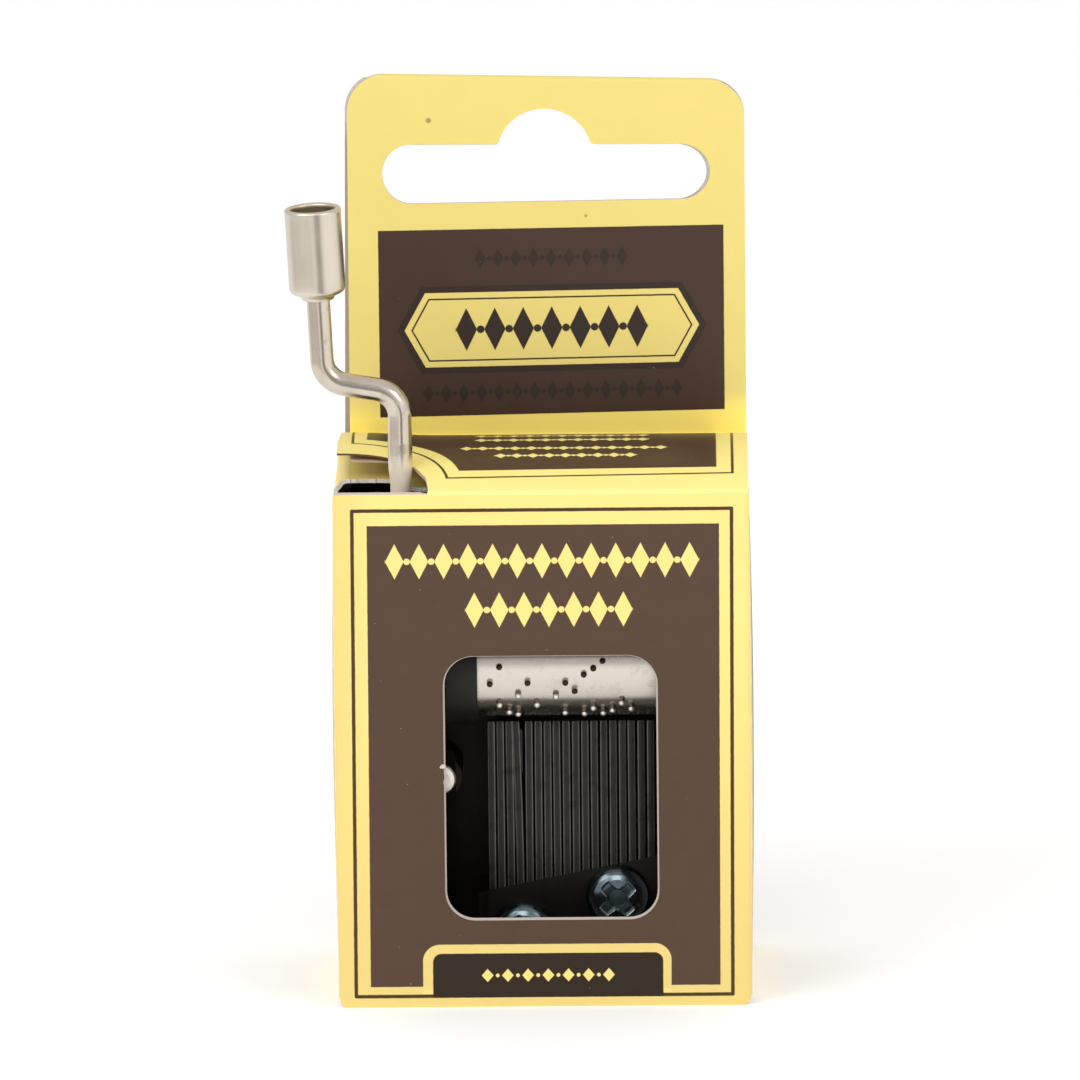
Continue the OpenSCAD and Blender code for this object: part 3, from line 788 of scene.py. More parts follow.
right_corner = tab_edge(TX1 - TR, 1)
left_corner = tab_edge(TX0 + TR, -1)
cut = cut_out()
CUT_TOP = 55.98
outline = [(-21.0, 0.0), (21.0, 0.0)] + arc(21.0, 0.9, 0.9, -90, 0, 6)[1:] + [(22.15, 1.0), (US(-10.0), 1.0)]
outline += [(US(-9.7), 0.5), (US(-9.0), T_END_B + 1.0), (US(-8.2), T_END_B), (US(10.0), T_END_B), (US(10.8), T_END_B + 1.0), (US(11.2), 0.5), (US(11.5), 1.0)]
outline += [(U_S1, 1.0), (U_B0 + 0.3, 0.62), (U_B1 - 0.25, 0.62), (U_B1, 0.9), (U_B1, 56.1), (UB(-21.2), 56.3), (UB(-21.16), 57.2)]
TRR = 3.9
rear_left = [(UB(x), z) for x, z in [(-20.72 + TRR - math.sqrt(max(TRR**2 - (z - 96.0 + TRR) ** 2, 0)), z) for z in np.linspace(96.0 - TRR, 95.53, 11)]]
rear_right = [(UB(x), z) for x, z in [(21.9 - TR + math.sqrt(max(TR**2 - (z - TZ) ** 2, 0)), z) for z in np.linspace(95.53, TZ, 11)]]
outline += rear_left + rear_right + [(UB(21.9), 57.6), (UB(21.42), 56.9), (UB(21.42), 56.1)]
outline += [(U_B0 - 0.15, 55.6), (U_S1, 55.15), (US(10.35), 55.15), (US(9.95), 55.6)]
outline += [(US(9.9), T_END_T - 1.84), (US(8.0), T_END_T), (US(-8.5), T_END_T), (US(-10.4), T_END_T - 1.84), (US(-10.45), 55.6), (US(-10.8), 55.15), (U_S0, 55.15)]
outline += [(22.0, 55.7), (21.97, 55.88), (21.95, 56.2), (21.95, 56.7)]
outline += [(21.95, MK["c0"] - 0.1), (21.9, MK["c1"] + 0.2)]
outline += right_corner + left_corner[::-1]
outline += [(TX0 - 0.12, MK["c1"] + 0.5), (TX0 - 0.14, MK["c0"] + 0.12), (-21.1, MK["c0"] - 0.05), (-21.22, MK["c0"] - 0.4), (-21.32, MK["c0"] - 3.0), (-21.58, MK["c0"] - 8.6), (-21.7, MK["c0"] - 10.6)]
outline += cut + [(-11.92, 56.22), (-11.98, CUT_TOP), (-21.3, CUT_TOP), (-21.75, 55.92), (-22.1, 55.7), (-U_S0, 55.3), (UL(-9.0), 55.22), (UL(-3.2), 55.2), (UL(-2.75), 55.45)]
flap_front = [(UL(-2.65), 55.9), (UL(-2.6), 57.5), (UL(-2.66), 60.2), (UL(-2.75), 61.3), (UL(-3.6), 62.0), (UL(-5.0), 62.7), (UL(-6.2), 63.6), (UL(-6.5), 64.2), (UL(-6.6), T_END_L - 1.84)]
outline += ragged(dense(flap_front, 0.3, closed=False), 0.075, 5)
outline += [(UL(-4.8), T_END_L), (UL(8.0), T_END_L), (UL(9.9), T_END_L - 1.84), (UL(9.95), 55.6), (UL(10.35), 55.15), (-U_L1 + 0.2, 55.15)]
outline += [(-U_G0 - 0.1, 54.4), (-U_G1 + 0.6, 53.6), (-U_G1, 53.0), (-U_G1, 2.4), (-U_G1 + 0.6, 1.8), (-U_G0 - 0.1, 1.1), (-U_L1 + 0.2, 1.0)]
outline += [(UL(11.5), 1.0), (UL(11.2), 0.5), (UL(10.8), T_END_B + 1.0), (UL(10.0), T_END_B), (UL(-8.2), T_END_B), (UL(-9.0), T_END_B + 1.0), (UL(-9.7), 0.5), (UL(-10.0), 1.0), (-22.15, 1.0)]
outline += arc(-21.0, 0.9, 0.9, 180, 270, 6)[:-1]
outline = dense(outline, 0.8)


def rounded(x0, y0, x1, y1, r, n=12):
    return (arc(x1 - r, y1 - r, r, 0, 90, n) + arc(x0 + r, y1 - r, r, 90, 180, n)
            + arc(x0 + r, y0 + r, r, 180, 270, n) + arc(x1 - r, y0 + r, r, 270, 360, n))


window = rounded(-10.55, 9.5, 12.2, 38.4, 3.2)
window = dense(window, 0.7)
# a small nick where the cutter left a fibre on the left edge
window = [(x + 0.16 * math.exp(-((z - 25.15) / 0.16) ** 2) - 0.10 * math.exp(-((z - 24.75) / 0.2) ** 2), z) if x < -10.5 and 23 < z < 27 else (x, z) for x, z in
          (window if not window else [p for i in range(len(window)) for p in ([window[i]] if not (window[i][0] < -10.5 and 23.5 < window[i][1] < 26.8) else [window[i], (window[i][0], (window[i][1] + window[(i + 1) % len(window)][1]) / 2)])])]


def slot_hole(dx=0.0, dz=0.0, arch=0.0):
    """The hanging slot: a long round-ended hole with an arch over its middle, joined by small fillets."""
    x0, x1, z0, z1, ca, za, ra, rf = -16.8 + dx, 18.2 + dx, 82.4 + dz, 88.65 + dz, 0.56 + arch, 87.4 + arch, 5.1, 0.35
    r = (z1 - z0) / 2
    # fillet centres stand rf above the slot's top edge and ra + rf from the arch's centre
    h = z1 + rf - za
    fx = math.sqrt((ra + rf) ** 2 - h * h)
    a = math.degrees(math.atan2(h, fx))
    pts = arc(x1 - r, z0 + r, r, -90, 90, 20)
    pts += arc(ca + fx, z1 + rf, rf, -90, -180 + a, 7)
    pts += arc(ca, za, ra, a, 180 - a, 26)[1:-1]
    pts += arc(ca - fx, z1 + rf, rf, -a, -90, 7)
    pts += arc(x0 + r, z0 + r, r, 90, 270, 20)
    return pts


slot_front = dense([(x, z + Z_TO_T) for x, z in slot_hole()], 0.8)
slot_rear = dense([(UB(x), z) for x, z in slot_hole(-0.36, -0.12, 0.04)][::-1], 0.8)

lines = []
for s_ in (-1, 1):
    for k in range(0, 7):
        u_ = s_ * (U_F + LA * k / 6)
        lines.append(((u_, -0.5), (u_, 56.3)))
    for k in range(0, 7):
        for t_ in (T_FT + LA * k / 6, T_FB - LA * k / 6):
            lines.append(((s_ * (U_S0 + 0.05), t_), (s_ * (U_S1 - 0.05 if s_ > 0 else U_L1 - 0.05), t_)))
for k in range(0, 9):
    lines.append(((UL(-6.4), 53.95 + 2.356 * k / 8), (UL(11.3), 53.95 + 2.356 * k / 8)) if 53.95 + 2.356 * k / 8 < 55.1 else ((UL(-2.4), 53.95 + 2.356 * k / 8), (UL(9.8), 53.95 + 2.356 * k / 8)))
for k in range(0, 7):
    lines.append(((U_S1 + LA * k / 6, 0.3), (U_S1 + LA * k / 6, 56.5)))
    lines.append(((-U_L1 - LA * k / 6, 0.5), (-U_L1 - LA * k / 6, 55.5)))
for k in range(0, 8):
    lines.append(((-11.9, T_F0 + (MK["f1"] - T_F0) * k / 7), (21.9, T_F0 + (MK["f1"] - T_F0) * k / 7)))
for k in range(0, 11):
    t_ = MK["c0"] + (MK["c1"] - MK["c0"]) * k / 10
    lines.append(((-21.9, t_), (22.0, t_)))
for k in range(0, 13):
    t_ = MK["r0"] + (MK["r1"] - MK["r0"]) * k / 12
    if k < 12:
        lines.append(((-21.0, t_), (22.0, t_)))
for t_ in np.linspace(MK["f1"], MK["c0"], 22)[1:-1]:
    lines.append(((-22.0, t_), (22.0, t_)))
for t_ in (57.5 + Z_TO_T, 59.2 + Z_TO_T):
    lines.append(((-20.6, t_), (21.8, t_)))
V2, TRI = triangulate(outline, [window, slot_front, slot_rear], lines)

c = V2[TRI].mean(1)
cu, ct = c[:, 0], c[:, 1]
on_front = (np.abs(cu) <= U_S0) & ((ct <= T_F0) | ((cu < -11.95) & (ct <= CUT_TOP + 0.02)) | (np.abs(cu) > 22.0))
on_strip = (np.abs(cu) <= 22.0) & ~on_front
on_right = (cu > U_S0) & (cu <= U_S1)
on_left = (cu < -U_S0) & (cu >= -U_L1)


def thin_at_cut(v):
    """The cutter crushed the card round the cut-out's left part."""
    d = (v[:, 1] - DEPTH_A) / DEPTH_K + 2.0
    r = np.hypot(v[:, 0] + 21.6, d) - 9.83
    near = (1 - smooth((r - 0.25) / 1.6)) * smooth((-12.6 - v[:, 0]) / 1.5)
    return CARD - 0.23 * near


REGIONS = [
    ("front_panel", on_front, with_normals(loop), M_FRONT, CARD),
    ("top_panel", on_strip & (ct <= MK["c0"]), strip, M_TOP, thin_at_cut),
    ("hang_tab_front", on_strip & (ct > MK["c0"]), strip, M_TAB, lambda v: np.where(v[:, 1] > MK["r0"] - 0.01, 0.435, 0.45)),
    ("right_side_panel", on_right & (ct > T_FB) & (ct <= T_FT), with_normals(side(1)), M_SIDE_R, CARD),
    ("top_dust_flap_right", on_right & (ct > T_FT), with_normals(side(1)), M_FLAP, CARD),
    ("bottom_dust_flap_right", on_right & (ct <= T_FB), with_normals(side(1)), M_FLAP, CARD),
    ("left_side_panel", on_left & (ct > T_FB) & (ct <= T_FT), with_normals(side(-1)), M_SIDE_L, CARD),
    ("top_dust_flap_left", on_left & (ct > T_FT), with_normals(side(-1)), M_FLAP, CARD),
    ("bottom_dust_flap_left", on_left & (ct <= T_FB), with_normals(side(-1)), M_FLAP, CARD),
    ("back_panel", cu > U_S1, with_normals(back), M_BACK, 0.43),
    ("glue_flap", cu < -U_L1, with_normals(glue), M_FLAP, 0.43),
]
for node, mask, mapf, mat, th in REGIONS:
    def bevel(v):
        near = np.zeros(len(v))
        if node == "front_panel":
            w = (v[:, 0] > -10.8) & (v[:, 0] < 12.5) & (v[:, 1] > 9.3) & (v[:, 1] < 38.8)
            near = np.where(w, 0.17, near)
            near = np.where((v[:, 1] > CUT_TOP - 0.1) & (v[:, 0] < -12.0) & (v[:, 0] > -21.9), 0.16, near)
        return near

    ob = card_mesh("card_" + node, V2, TRI[mask], mapf, (mat.m, RAW_REAR_IN if node == "back_panel" else RAW_IN, {"top_panel": RAW_CUT, "back_panel": RAW_REAR, "top_dust_flap_left": RAW_FLAP}.get(node, RAW_EDGE)), th, bevel)
    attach(ob, "carton")
    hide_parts(node)


# ---- a fibre of card stands up at the window's left edge
def flake_map(u, t):
    y = -W_FRONT - 0.03 - 0.16 * smooth((u + 10.95) / 0.5)
    p = np.stack([u, y + 0 * u, t], 1)
    return p, np.stack([0 * u, 0 * u - 1, 0 * u], 1)


W_FRONT = D2
v2, tr = triangulate(dense(ragged([(-11.05, 26.35), (-10.8, 26.62), (-10.5, 26.66), (-10.3, 26.5), (-10.34, 26.28), (-10.62, 26.2), (-10.86, 26.18)], 0.02, 3), 0.12), [], [], step=0.2, clear=0.05)
flake = card_mesh("card_window_fibre", v2, tr, flake_map, (RAW_EDGE, RAW_EDGE, RAW_EDGE), 0.06)
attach(flake, "carton")

# ---- at the cut-out's left the card has split: its lower ply hangs under the printed one
def ply_map(u, t):
    d = t
    y = -D2 + d
    q = d / (2 * D2)
    z = 56.2 + 8.8 * q * (1 - q) - 0.62 - 0.55 * smooth((-15.0 - u) / 6.0) * 0.3
    slope = 8.8 / (2 * D2) * (1 - 2 * q)
    n = np.stack([0 * u, -slope, 0 * u + 1], 1)
    return np.stack([u, y, z], 1), n / np.linalg.norm(n, axis=1)[:, None]


ply_edge = [(-20.2, 10.25), (-19.6, 9.98), (-18.6, 9.72), (-17.4, 9.45), (-16.2, 9.05), (-15.2, 8.35), (-14.5, 7.6)]
poly = ragged(dense(ply_edge, 0.5, closed=False), 0.02, 9) + [(-13.2, 8.4), (-13.2, 13.5), (-20.0, 13.5), (-20.35, 11.5)]
v2, tr = triangulate(dense(poly, 0.7), [], [], step=1.2)
ply = card_mesh("card_top_panel_ply", v2, tr, ply_map, (RAW_TAN, RAW_TAN, RAW_TAN), 0.26)
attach(ply, "carton")


# ---- the bottom closure: panel and tuck flap, each with its own score fold
def bottom_map(u, t):
    # t is the distance along the panel from the score at the back
    a = np.clip(t / 0.6, 0, math.pi / 2)
    s = np.maximum(t - 0.6 * math.pi / 2, 0)
    y = np.where(t < 0.6 * math.pi / 2, 12.1 + 0.6 * np.cos(a), 12.1 - s)
    z = np.where(t < 0.6 * math.pi / 2, 0.6 - 0.6 * np.sin(a), 0.0)
    z = z + 0.0 * s
    p = np.stack([u, y, z], 1)
    n = np.stack([0 * u, np.cos(a), -np.sin(a)], 1)
    return p, n


B_LEN = 0.6 * math.pi / 2 + (12.1 + 11.72)
poly = dense([(-21.7, 0.0), (21.7, 0.0), (21.7, B_LEN), (-21.7, B_LEN)], 0.9)
v2, tr = triangulate(poly, [], [((-21.7, 0.6 * math.pi / 2 * k / 8), (21.7, 0.6 * math.pi / 2 * k / 8)) for k in range(1, 9)] + [((-21.7, 1.6), (21.7, 1.6))])
panel = card_mesh("card_bottom_panel", v2, tr, bottom_map, (M_BOTTOM.m, RAW_IN, RAW_EDGE), 0.44)
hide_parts("bottom_panel")
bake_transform(panel)


def tuck_map(u, t):
    r = 0.45
    a = np.clip(t / r, 0, math.pi / 2)
    s = np.maximum(t - r * math.pi / 2, 0)
    y = -11.72 - r * np.sin(a) + 0.0 * s
    z = np.where(t < r * math.pi / 2, r - r * np.cos(a), r + s)
    p = np.stack([u, y, z], 1)
    n = np.stack([0 * u, -np.sin(a), -np.cos(a)], 1)
    return p, n


T_LEN = 0.45 * math.pi / 2 + 8.02
poly = [(-21.55, 0.0), (21.55, 0.0), (21.25, 1.6), (21.25, T_LEN - 3.0)] + arc(18.25, T_LEN - 3.0, 3.0, 0, 90, 10)[1:] + arc(-18.25, T_LEN - 3.0, 3.0, 90, 180, 10) + [(-21.25, 1.6)]
v2, tr = triangulate(dense(poly, 0.8), [], [((-21.6, 0.45 * math.pi / 2 * k / 8), (21.6, 0.45 * math.pi / 2 * k / 8)) for k in range(1, 9)] + [((-21.5, 1.3), (21.5, 1.3))])
tuck = card_mesh("card_bottom_tuck_flap", v2, tr, tuck_map, (M_FLAP.m, RAW_IN, RAW_EDGE), 0.44)
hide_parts("bottom_tuck_flap")
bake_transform(tuck)


# ---------------------------------------------------------------- metals and plastics
def metal(name, colour, rough, spread=0.08, grain=None, grain_depth=0.004, dirt=None, dirt_amount=0.3, tint=0.06, bands=None, foot=None):
    m = Mat(name, Metallic=1.0)
    cloud = m.noise(0.35, detail=4.0)
    fine = m.noise(6.0, detail=2.0)
    streak = m.noise(3.0, vector=m.stretch(*grain), detail=4.0, rough=0.65) if grain else fine
    value = (cloud - 0.5) * tint * 2 + (streak - 0.5) * tint + 1.0
    if bands:
        # lengthwise light and dark bands, painted reflection streaks: (per millimetre, strength)
        value = value + (m.noise(bands[0], vector=m.stretch(1, 1, 0.06), detail=2.0) - 0.5) * bands[1]
    colour_s = m.shade(colour, value)
    r = (cloud - 0.5) * spread + (streak - 0.5) * spread + rough
    if dirt is not None:
        patch = m.noise(0.5, detail=6.0, rough=0.7).ramp(0.52, 0.72) * dirt_amount
        colour_s = m.mix(patch, colour_s, dirt)
        r = r + patch * 0.35
    if foot is not None:
        # painted light: towards the rod's foot the plating turns pale, rougher and less metallic, where it would
        # otherwise reflect the dark hole: (from z, to z, colour)
        painted_light_rod_foot = m.xyz()[2].ramp(foot[0], foot[1])
        colour_s = m.mix(painted_light_rod_foot, colour_s, foot[2])
        r = r + painted_light_rod_foot * 0.25
        m.link(painted_light_rod_foot * -0.8 + 1.0, m.b.inputs["Metallic"])
    m.base(colour_s)
    m.rough(r)
    m.bump((streak, grain_depth), (cloud, grain_depth * 4))
    return m.m


def plastic(name, colour, rough, spread=0.1, depth=0.01):
    m = Mat(name, IOR=1.5)
    m.b.inputs["Specular IOR Level"].default_value = 0.34
    cloud, fine = m.noise(0.5, detail=4.0), m.noise(8.0, detail=2.0)
    m.base(m.shade(colour, (cloud - 0.5) * 0.3 + (fine - 0.5) * 0.12 + 1.0))
    m.rough((cloud - 0.5) * spread + (fine - 0.5) * 0.08 + rough)
    m.bump((fine, depth), (cloud, depth * 3))
    return m.m


NICKEL = metal("nickel_plate", lin(206, 195, 181), 0.22, spread=0.10, grain=(1, 1, 0.25), grain_depth=0.0025, tint=0.06, dirt=lin(92, 80, 66), dirt_amount=0.40, bands=(0.75, 0.35), foot=(60.0, 56.6, lin(240, 226, 204)))
NICKEL_KNOB = metal("nickel_plate_turned", lin(212, 203, 188), 0.31, spread=0.10, grain=(1.0, 1.0, 0.2), grain_depth=0.002, tint=0.06, bands=(0.42, 0.4))
NICKEL_IN = metal("nickel_plate_inside", lin(216, 202, 178), 0.40, spread=0.12, grain=(0.2, 0.2, 1.5), grain_depth=0.004, tint=0.12, dirt=lin(70, 58, 46), dirt_amount=0.6)
RIVET = metal("rivet_bright", lin(222, 216, 205), 0.38, grain_depth=0.004)
TUBE = metal("cylinder_satin", lin(211, 204, 193), 0.25, spread=0.05, grain=(2.5, 0.12, 0.12), grain_depth=0.0005, tint=0.04, dirt=lin(150, 138, 120), dirt_amount=0.22)
# painted shade and painted highlights: darker and brighter copies of the pin steel for the pins' sides and ends
PIN_SIDE = metal("pin_side", lin(112, 105, 96), 0.34, grain_depth=0.003)
PIN_MID = metal("pin_side_bright", lin(168, 160, 149), 0.34, grain_depth=0.003)
PIN_TIP_PAINTED_LIGHT = metal("pin_tip_painted_light", lin(236, 230, 220), 0.5, grain_depth=0.01)
PIN_END = metal("pin_end", lin(64, 58, 52), 0.55, spread=0.2, grain_depth=0.01, tint=0.2)
COMB_STEEL = metal("comb_steel", lin(54, 52, 49), 0.45, spread=0.22, grain=(5.0, 1.0, 0.12), grain_depth=0.006, tint=0.30, dirt=lin(40, 32, 27), dirt_amount=0.5)
# painted highlight: lighter steel for the teeth's front chamfers
COMB_EDGE = metal("comb_steel_edge_highlight", lin(98, 96, 91), 0.42, spread=0.25, grain=(5.0, 1.0, 0.12), grain_depth=0.004, tint=0.5, dirt=lin(60, 55, 50), dirt_amount=0.5)
COMB_ROOT = metal("comb_steel_root", lin(48, 45, 42), 0.45, spread=0.2, grain=(1.0, 1.0, 1.0), grain_depth=0.005, tint=0.2)
# painted shade: the cast bedplate is coloured near-black so the box's inside reads dark
ZINC = metal("zinc_cast", lin(46, 42, 37), 0.55, spread=0.15, grain_depth=0.012, tint=0.12)
BLUED = metal("blued_screw", lin(104, 118, 124), 0.20, spread=0.10, grain=(1.0, 1.0, 1.0), grain_depth=0.003, tint=0.25, dirt=lin(30, 36, 40), dirt_amount=0.5)
# painted highlight on the recess lip, and painted shade a little darker inside the recess
BLUED_EDGE = metal("blued_screw_lip_highlight", lin(190, 204, 206), 0.35, spread=0.10, grain=(1.0, 1.0, 1.0), grain_depth=0.003, tint=0.25)
BLUED_DEEP = metal("blued_screw_recess", lin(96, 110, 114), 0.40, spread=0.10, grain=(1.0, 1.0, 1.0), grain_depth=0.004, tint=0.3)
BRASS = metal("turned_brass", lin(196, 160, 92), 0.28, spread=0.10, grain=(0.3, 0.3, 2.0), grain_depth=0.003, tint=0.08)
STEEL = metal("plain_steel", lin(168, 166, 162), 0.32, spread=0.12, grain=(0.3, 1.5, 1.5), grain_depth=0.003, tint=0.08)
LEAD = metal("lead", lin(80, 80, 84), 0.6, spread=0.12, grain_depth=0.01, tint=0.15)
BLACK = plastic("black_moulding", lin(20, 17, 16), 0.5)
# painted shade: the crank brackets are near-black so the box's inside reads dark
BLACK_IN = metal("black_bracket_painted_shade", lin(20, 18, 17), 0.5, spread=0.15, grain_depth=0.006, tint=0.2)

for node, mat in {
    "bedplate": ZINC, "tuning_weights": LEAD, "cylinder_tube": TUBE, "cylinder_arbor": STEEL, "cylinder_end_cap": BRASS,
    "worm_wheel": BLACK, "cylinder_bearing_left": STEEL, "cylinder_bearing_right": STEEL, "bearing_rivets": RIVET,
    "crank_bracket_upper": BLACK_IN, "crank_bracket_lower": BLACK_IN, "crank_bracket_rivets": RIVET, "crank_bush_upper": BRASS,
    "crank_bush_lower": BRASS, "worm": BRASS, "thrust_collar": BRASS, "retaining_clip": STEEL, "knob_washer": STEEL,
}.items():
    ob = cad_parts[node]
    ob.data.materials.clear()
    ob.data.materials.append(mat)


def link_mesh(name, verts, faces, mats, smooth=35.0, indices=None, scale=MM):
    me = bpy.data.meshes.new(name)
    me.from_pydata([tuple(float(c) * scale for c in v) for v in verts], [], faces)
    me.validate()
    for m in mats:
        me.materials.append(m)
    if indices is not None:
        me.polygons.foreach_set("material_index", np.array(indices, np.int32))
    bm = bmesh.new()
    bm.from_mesh(me)
    bmesh.ops.recalc_face_normals(bm, faces=bm.faces)
    for f in bm.faces:
        f.smooth = True
    for e in bm.edges:
        e.smooth = len(e.link_faces) == 2 and e.calc_face_angle(4) < smooth * RAD
    bm.to_mesh(me)
    bm.free()
    ob = bpy.data.objects.new(name, me)
    bpy.context.scene.collection.objects.link(ob)
    return ob


def revolve(profile, n, frame_of, closed=True):
    """Turns (r, s) points about an axis; frame_of(r, angle, s) gives the place. Points at r 0 become one vertex."""
    verts, rows, faces = [], [], []
    for r, s in profile:
        if r < 1e-6:
            rows.append([len(verts)] * n)
            verts.append(frame_of(0, 0, s))
        else:
            rows.append(list(range(len(verts), len(verts) + n)))
            verts += [frame_of(r, 2 * math.pi * k / n, s) for k in range(n)]
    m = len(rows)
    for i in range(m if closed else m - 1):
        a, b = rows[i], rows[(i + 1) % m]
        for k in range(n):
            q = [a[k], a[(k + 1) % n], b[(k + 1) % n], b[k]]
            q = [x for j, x in enumerate(q) if x != q[j - 1]]
            if len(q) > 2:
                faces.append(tuple(q))
    return verts, faces


# ---- crank rod, one bent wire
AX, AY, AZ = -14.85, -7.5, 35.3
THROW, RISE, BR, LEAN = 8.05, 1.4, 2.9, 2.7
arm_a = math.degrees(math.atan2(RISE, THROW))
turn1, turn2 = 90 - arm_a, 90 - arm_a - LEAN
t1, t2 = BR * math.tan(turn1 / 2 * RAD), BR * math.tan(turn2 / 2 * RAD)
C1, C2 = (AX, 65.8), (AX - THROW, 65.8 + RISE)


def rod_path():
    """(x, z, heading in degrees from straight up towards -X, radius) along the rod."""
    out = [(AX, 22.6, 0, 0.98), (AX, 22.72, 0, 1.10)]
    out += [(AX, z, 0, 1.10) for z in (30, 40, 50, 54.9, 55.9)]
    out += [(AX, 56.3, 0, 1.12), (AX, 56.7, 0, 1.16), (AX, 57.1, 0, 1.21), (AX, 57.6, 0, 1.26), (AX, 58.2, 0, 1.29)]
    out += [(AX, z, 0, 1.30 - 0.05 * smooth((z - 60.5) / 2.4)) for z in np.linspace(59, 65.8 - t1, 7)]
    for k in range(1, 25):
        a = turn1 * k / 24
        out.append((AX - BR + BR * math.cos(a * RAD), 65.8 - t1 + BR * math.sin(a * RAD), a, 1.25 + 0.02 * math.sin(math.pi * k / 24)))
    x0, z0 = out[-1][0], out[-1][1]
    length = math.hypot(THROW, RISE) - t1 - t2
    for k in range(1, 4):
        out.append((x0 - length * math.cos(arm_a * RAD) * k / 3, z0 + length * math.sin(arm_a * RAD) * k / 3, turn1, 1.25))
    x0, z0 = out[-1][0], out[-1][1]
    # second bend turns back up
    nx, nz = math.sin(arm_a * RAD), math.cos(arm_a * RAD)
    cx, cz = x0 + nx * BR, z0 + nz * BR
    for k in range(1, 25):
        h = turn1 - turn2 * k / 24
        out.append((cx - BR * math.cos(h * RAD), cz - BR * math.sin(h * RAD), h, 1.25 + 0.02 * math.sin(math.pi * k / 24)))
    s0 = t2
    for s in list(np.linspace(s0, 13.0, 8)[1:]) + [13.05]:
        out.append((C2[0] - s * math.sin(LEAN * RAD), C2[1] + s * math.cos(LEAN * RAD), LEAN, 1.25))
    for s, r in ((13.06, 1.6), (13.12, 1.72), (13.3, 1.75), (13.6, 1.73), (13.8, 1.62), (13.9, 1.4), (13.95, 1.0), (13.95, 0.5)):
        out.append((C2[0] - s * math.sin(LEAN * RAD), C2[1] + s * math.cos(LEAN * RAD), LEAN, r))
    return out


path = rod_path()
n = 64
verts, faces = [], []
for x, z, h, r in path:
    ax, az = math.cos(h * RAD), math.sin(h * RAD)  # across the rod, in the crank's plane
    for k in range(n):
        a = 2 * math.pi * k / n
        verts.append((x + r * math.cos(a) * ax, AY + r * math.sin(a), z + r * math.cos(a) * az))
for i in range(len(path) - 1):
    for k in range(n):
        faces.append((i * n + k, i * n + (k + 1) % n, (i + 1) * n + (k + 1) % n, (i + 1) * n + k))
for i, (x, z, h, r) in ((0, path[0]), (len(path) - 1, path[-1])):
    verts.append((x, AY, z))
    for k in range(n):
        faces.append((i * n + k, i * n + (k + 1) % n, len(verts) - 1))
rod = link_mesh("crank_rod_bent", verts, faces, [NICKEL])
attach(rod, "crank")
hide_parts("crank_rod")

# ---- knob, a deep-drawn cup with a rolled rim
def knob_frame(r, a, s):
    ca, sa = math.cos(LEAN * RAD), math.sin(LEAN * RAD)
    x, y = r * math.cos(a), r * math.sin(a)
    s += 8.75
    return (C2[0] - s * sa + x * ca, AY + y, C2[1] + s * ca + x * sa)


KR, KH = 2.98, 9.95
outer = [(1.30, 0.10), (1.58, 0.10), (1.70, 0.14), (1.75, 0.24), (1.80, 0.38), (1.96, 0.52), (2.3, 0.68), (2.6, 0.82), (2.82, 0.98), (2.93, 1.16), (KR - 0.01, 1.4)]
outer += [(KR, s) for s in (2.2, 3.6, 5.4, 7.2, 8.8, 9.4)]
outer += [(KR + 0.02, 9.58), (KR + 0.015, 9.74), (KR - 0.05, 9.87), (KR - 0.16, 9.95), (KR - 0.30, 9.97), (KR - 0.44, 9.94), (KR - 0.55, 9.85), (KR - 0.60, 9.68)]
inner = [(2.42, 9.42), (2.50, 9.1), (2.49, 7.5), (2.48, 5.0), (2.48, 3.2), (2.46, 2.7), (2.38, 2.4), (2.22, 2.2), (1.98, 2.12), (1.7, 2.1), (1.30, 2.1)]
verts, faces = revolve(outer + inner, 128, knob_frame)
n_out = (len(outer) - 3) * 128
knob = link_mesh("crank_knob_cup", verts, faces, [NICKEL_KNOB, NICKEL_IN], indices=[0 if i < n_out else 1 for i in range(len(faces))])
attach(knob, "knob")
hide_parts("knob")

# ---- comb: a plate with eighteen teeth, two of them bent at the tip
CY0, CY1, TIP = -1.75, -0.85, 28.55
ROOT = lambda i: 10.1 + 3.4 * i / 17
TOOTH = lambda i: -5.65 + i
BEND = {2: -0.13, 3: -0.37}


def bevel_box_strip(sections):
    """sections is a list of closed loops of equal length; gives verts and faces with the ends capped."""
    verts = [p for loop_ in sections for p in loop_]
    m = len(sections[0])
    faces = []
    for i in range(len(sections) - 1):
        for k in range(m):
            faces.append((i * m + k, i * m + (k + 1) % m, (i + 1) * m + (k + 1) % m, (i + 1) * m + k))
    faces.append(tuple(range(m)))
    faces.append(tuple(range((len(sections) - 1) * m, len(sections) * m)))
    return verts, faces


def tooth(i, seed):
    r = np.random.default_rng(seed)
    out = []
    z0, w = ROOT(i) - 0.9, 0.38 + r.normal(0, 0.006)
    lean = r.normal(0, 0.02)
    for k, f in enumerate((0.0, 0.08, 0.2, 0.35, 0.5, 0.65, 0.8, 0.92, 0.985, 1.0)):
        z = z0 + (TIP - z0) * f
        x = TOOTH(i) + (BEND.get(i, 0.0) * f**1.7) + lean * f
        # ground thinner over most of its length, full at the tip
        y0 = CY0 + 0.12 * math.sin(math.pi * min(f * 1.25, 1.0)) ** 0.5 if 0 < f < 0.9 else CY0 + 0.02
        y0 += r.normal(0, 0.006)
        c, ww = 0.115, w - (0.05 if f == 1.0 else 0.0)
        y0 += 0.05 if f == 1.0 else 0.0
        y1 = CY1 - 0.15
        out.append([(x - ww + c, y0, z), (x + ww - c, y0, z), (x + ww, y0 + 0.035, z), (x + ww, y1, z), (x - ww, y1, z), (x - ww, y0 + 0.035, z)])
    v, f = bevel_box_strip(out)
    # the long front edges' chamfers are painted lighter steel: a painted highlight
    side_of = [1 if k in (1, 5) else 0 for _ in range(len(out) - 1) for k in range(6)] + [0, 0]
    return v, f, side_of


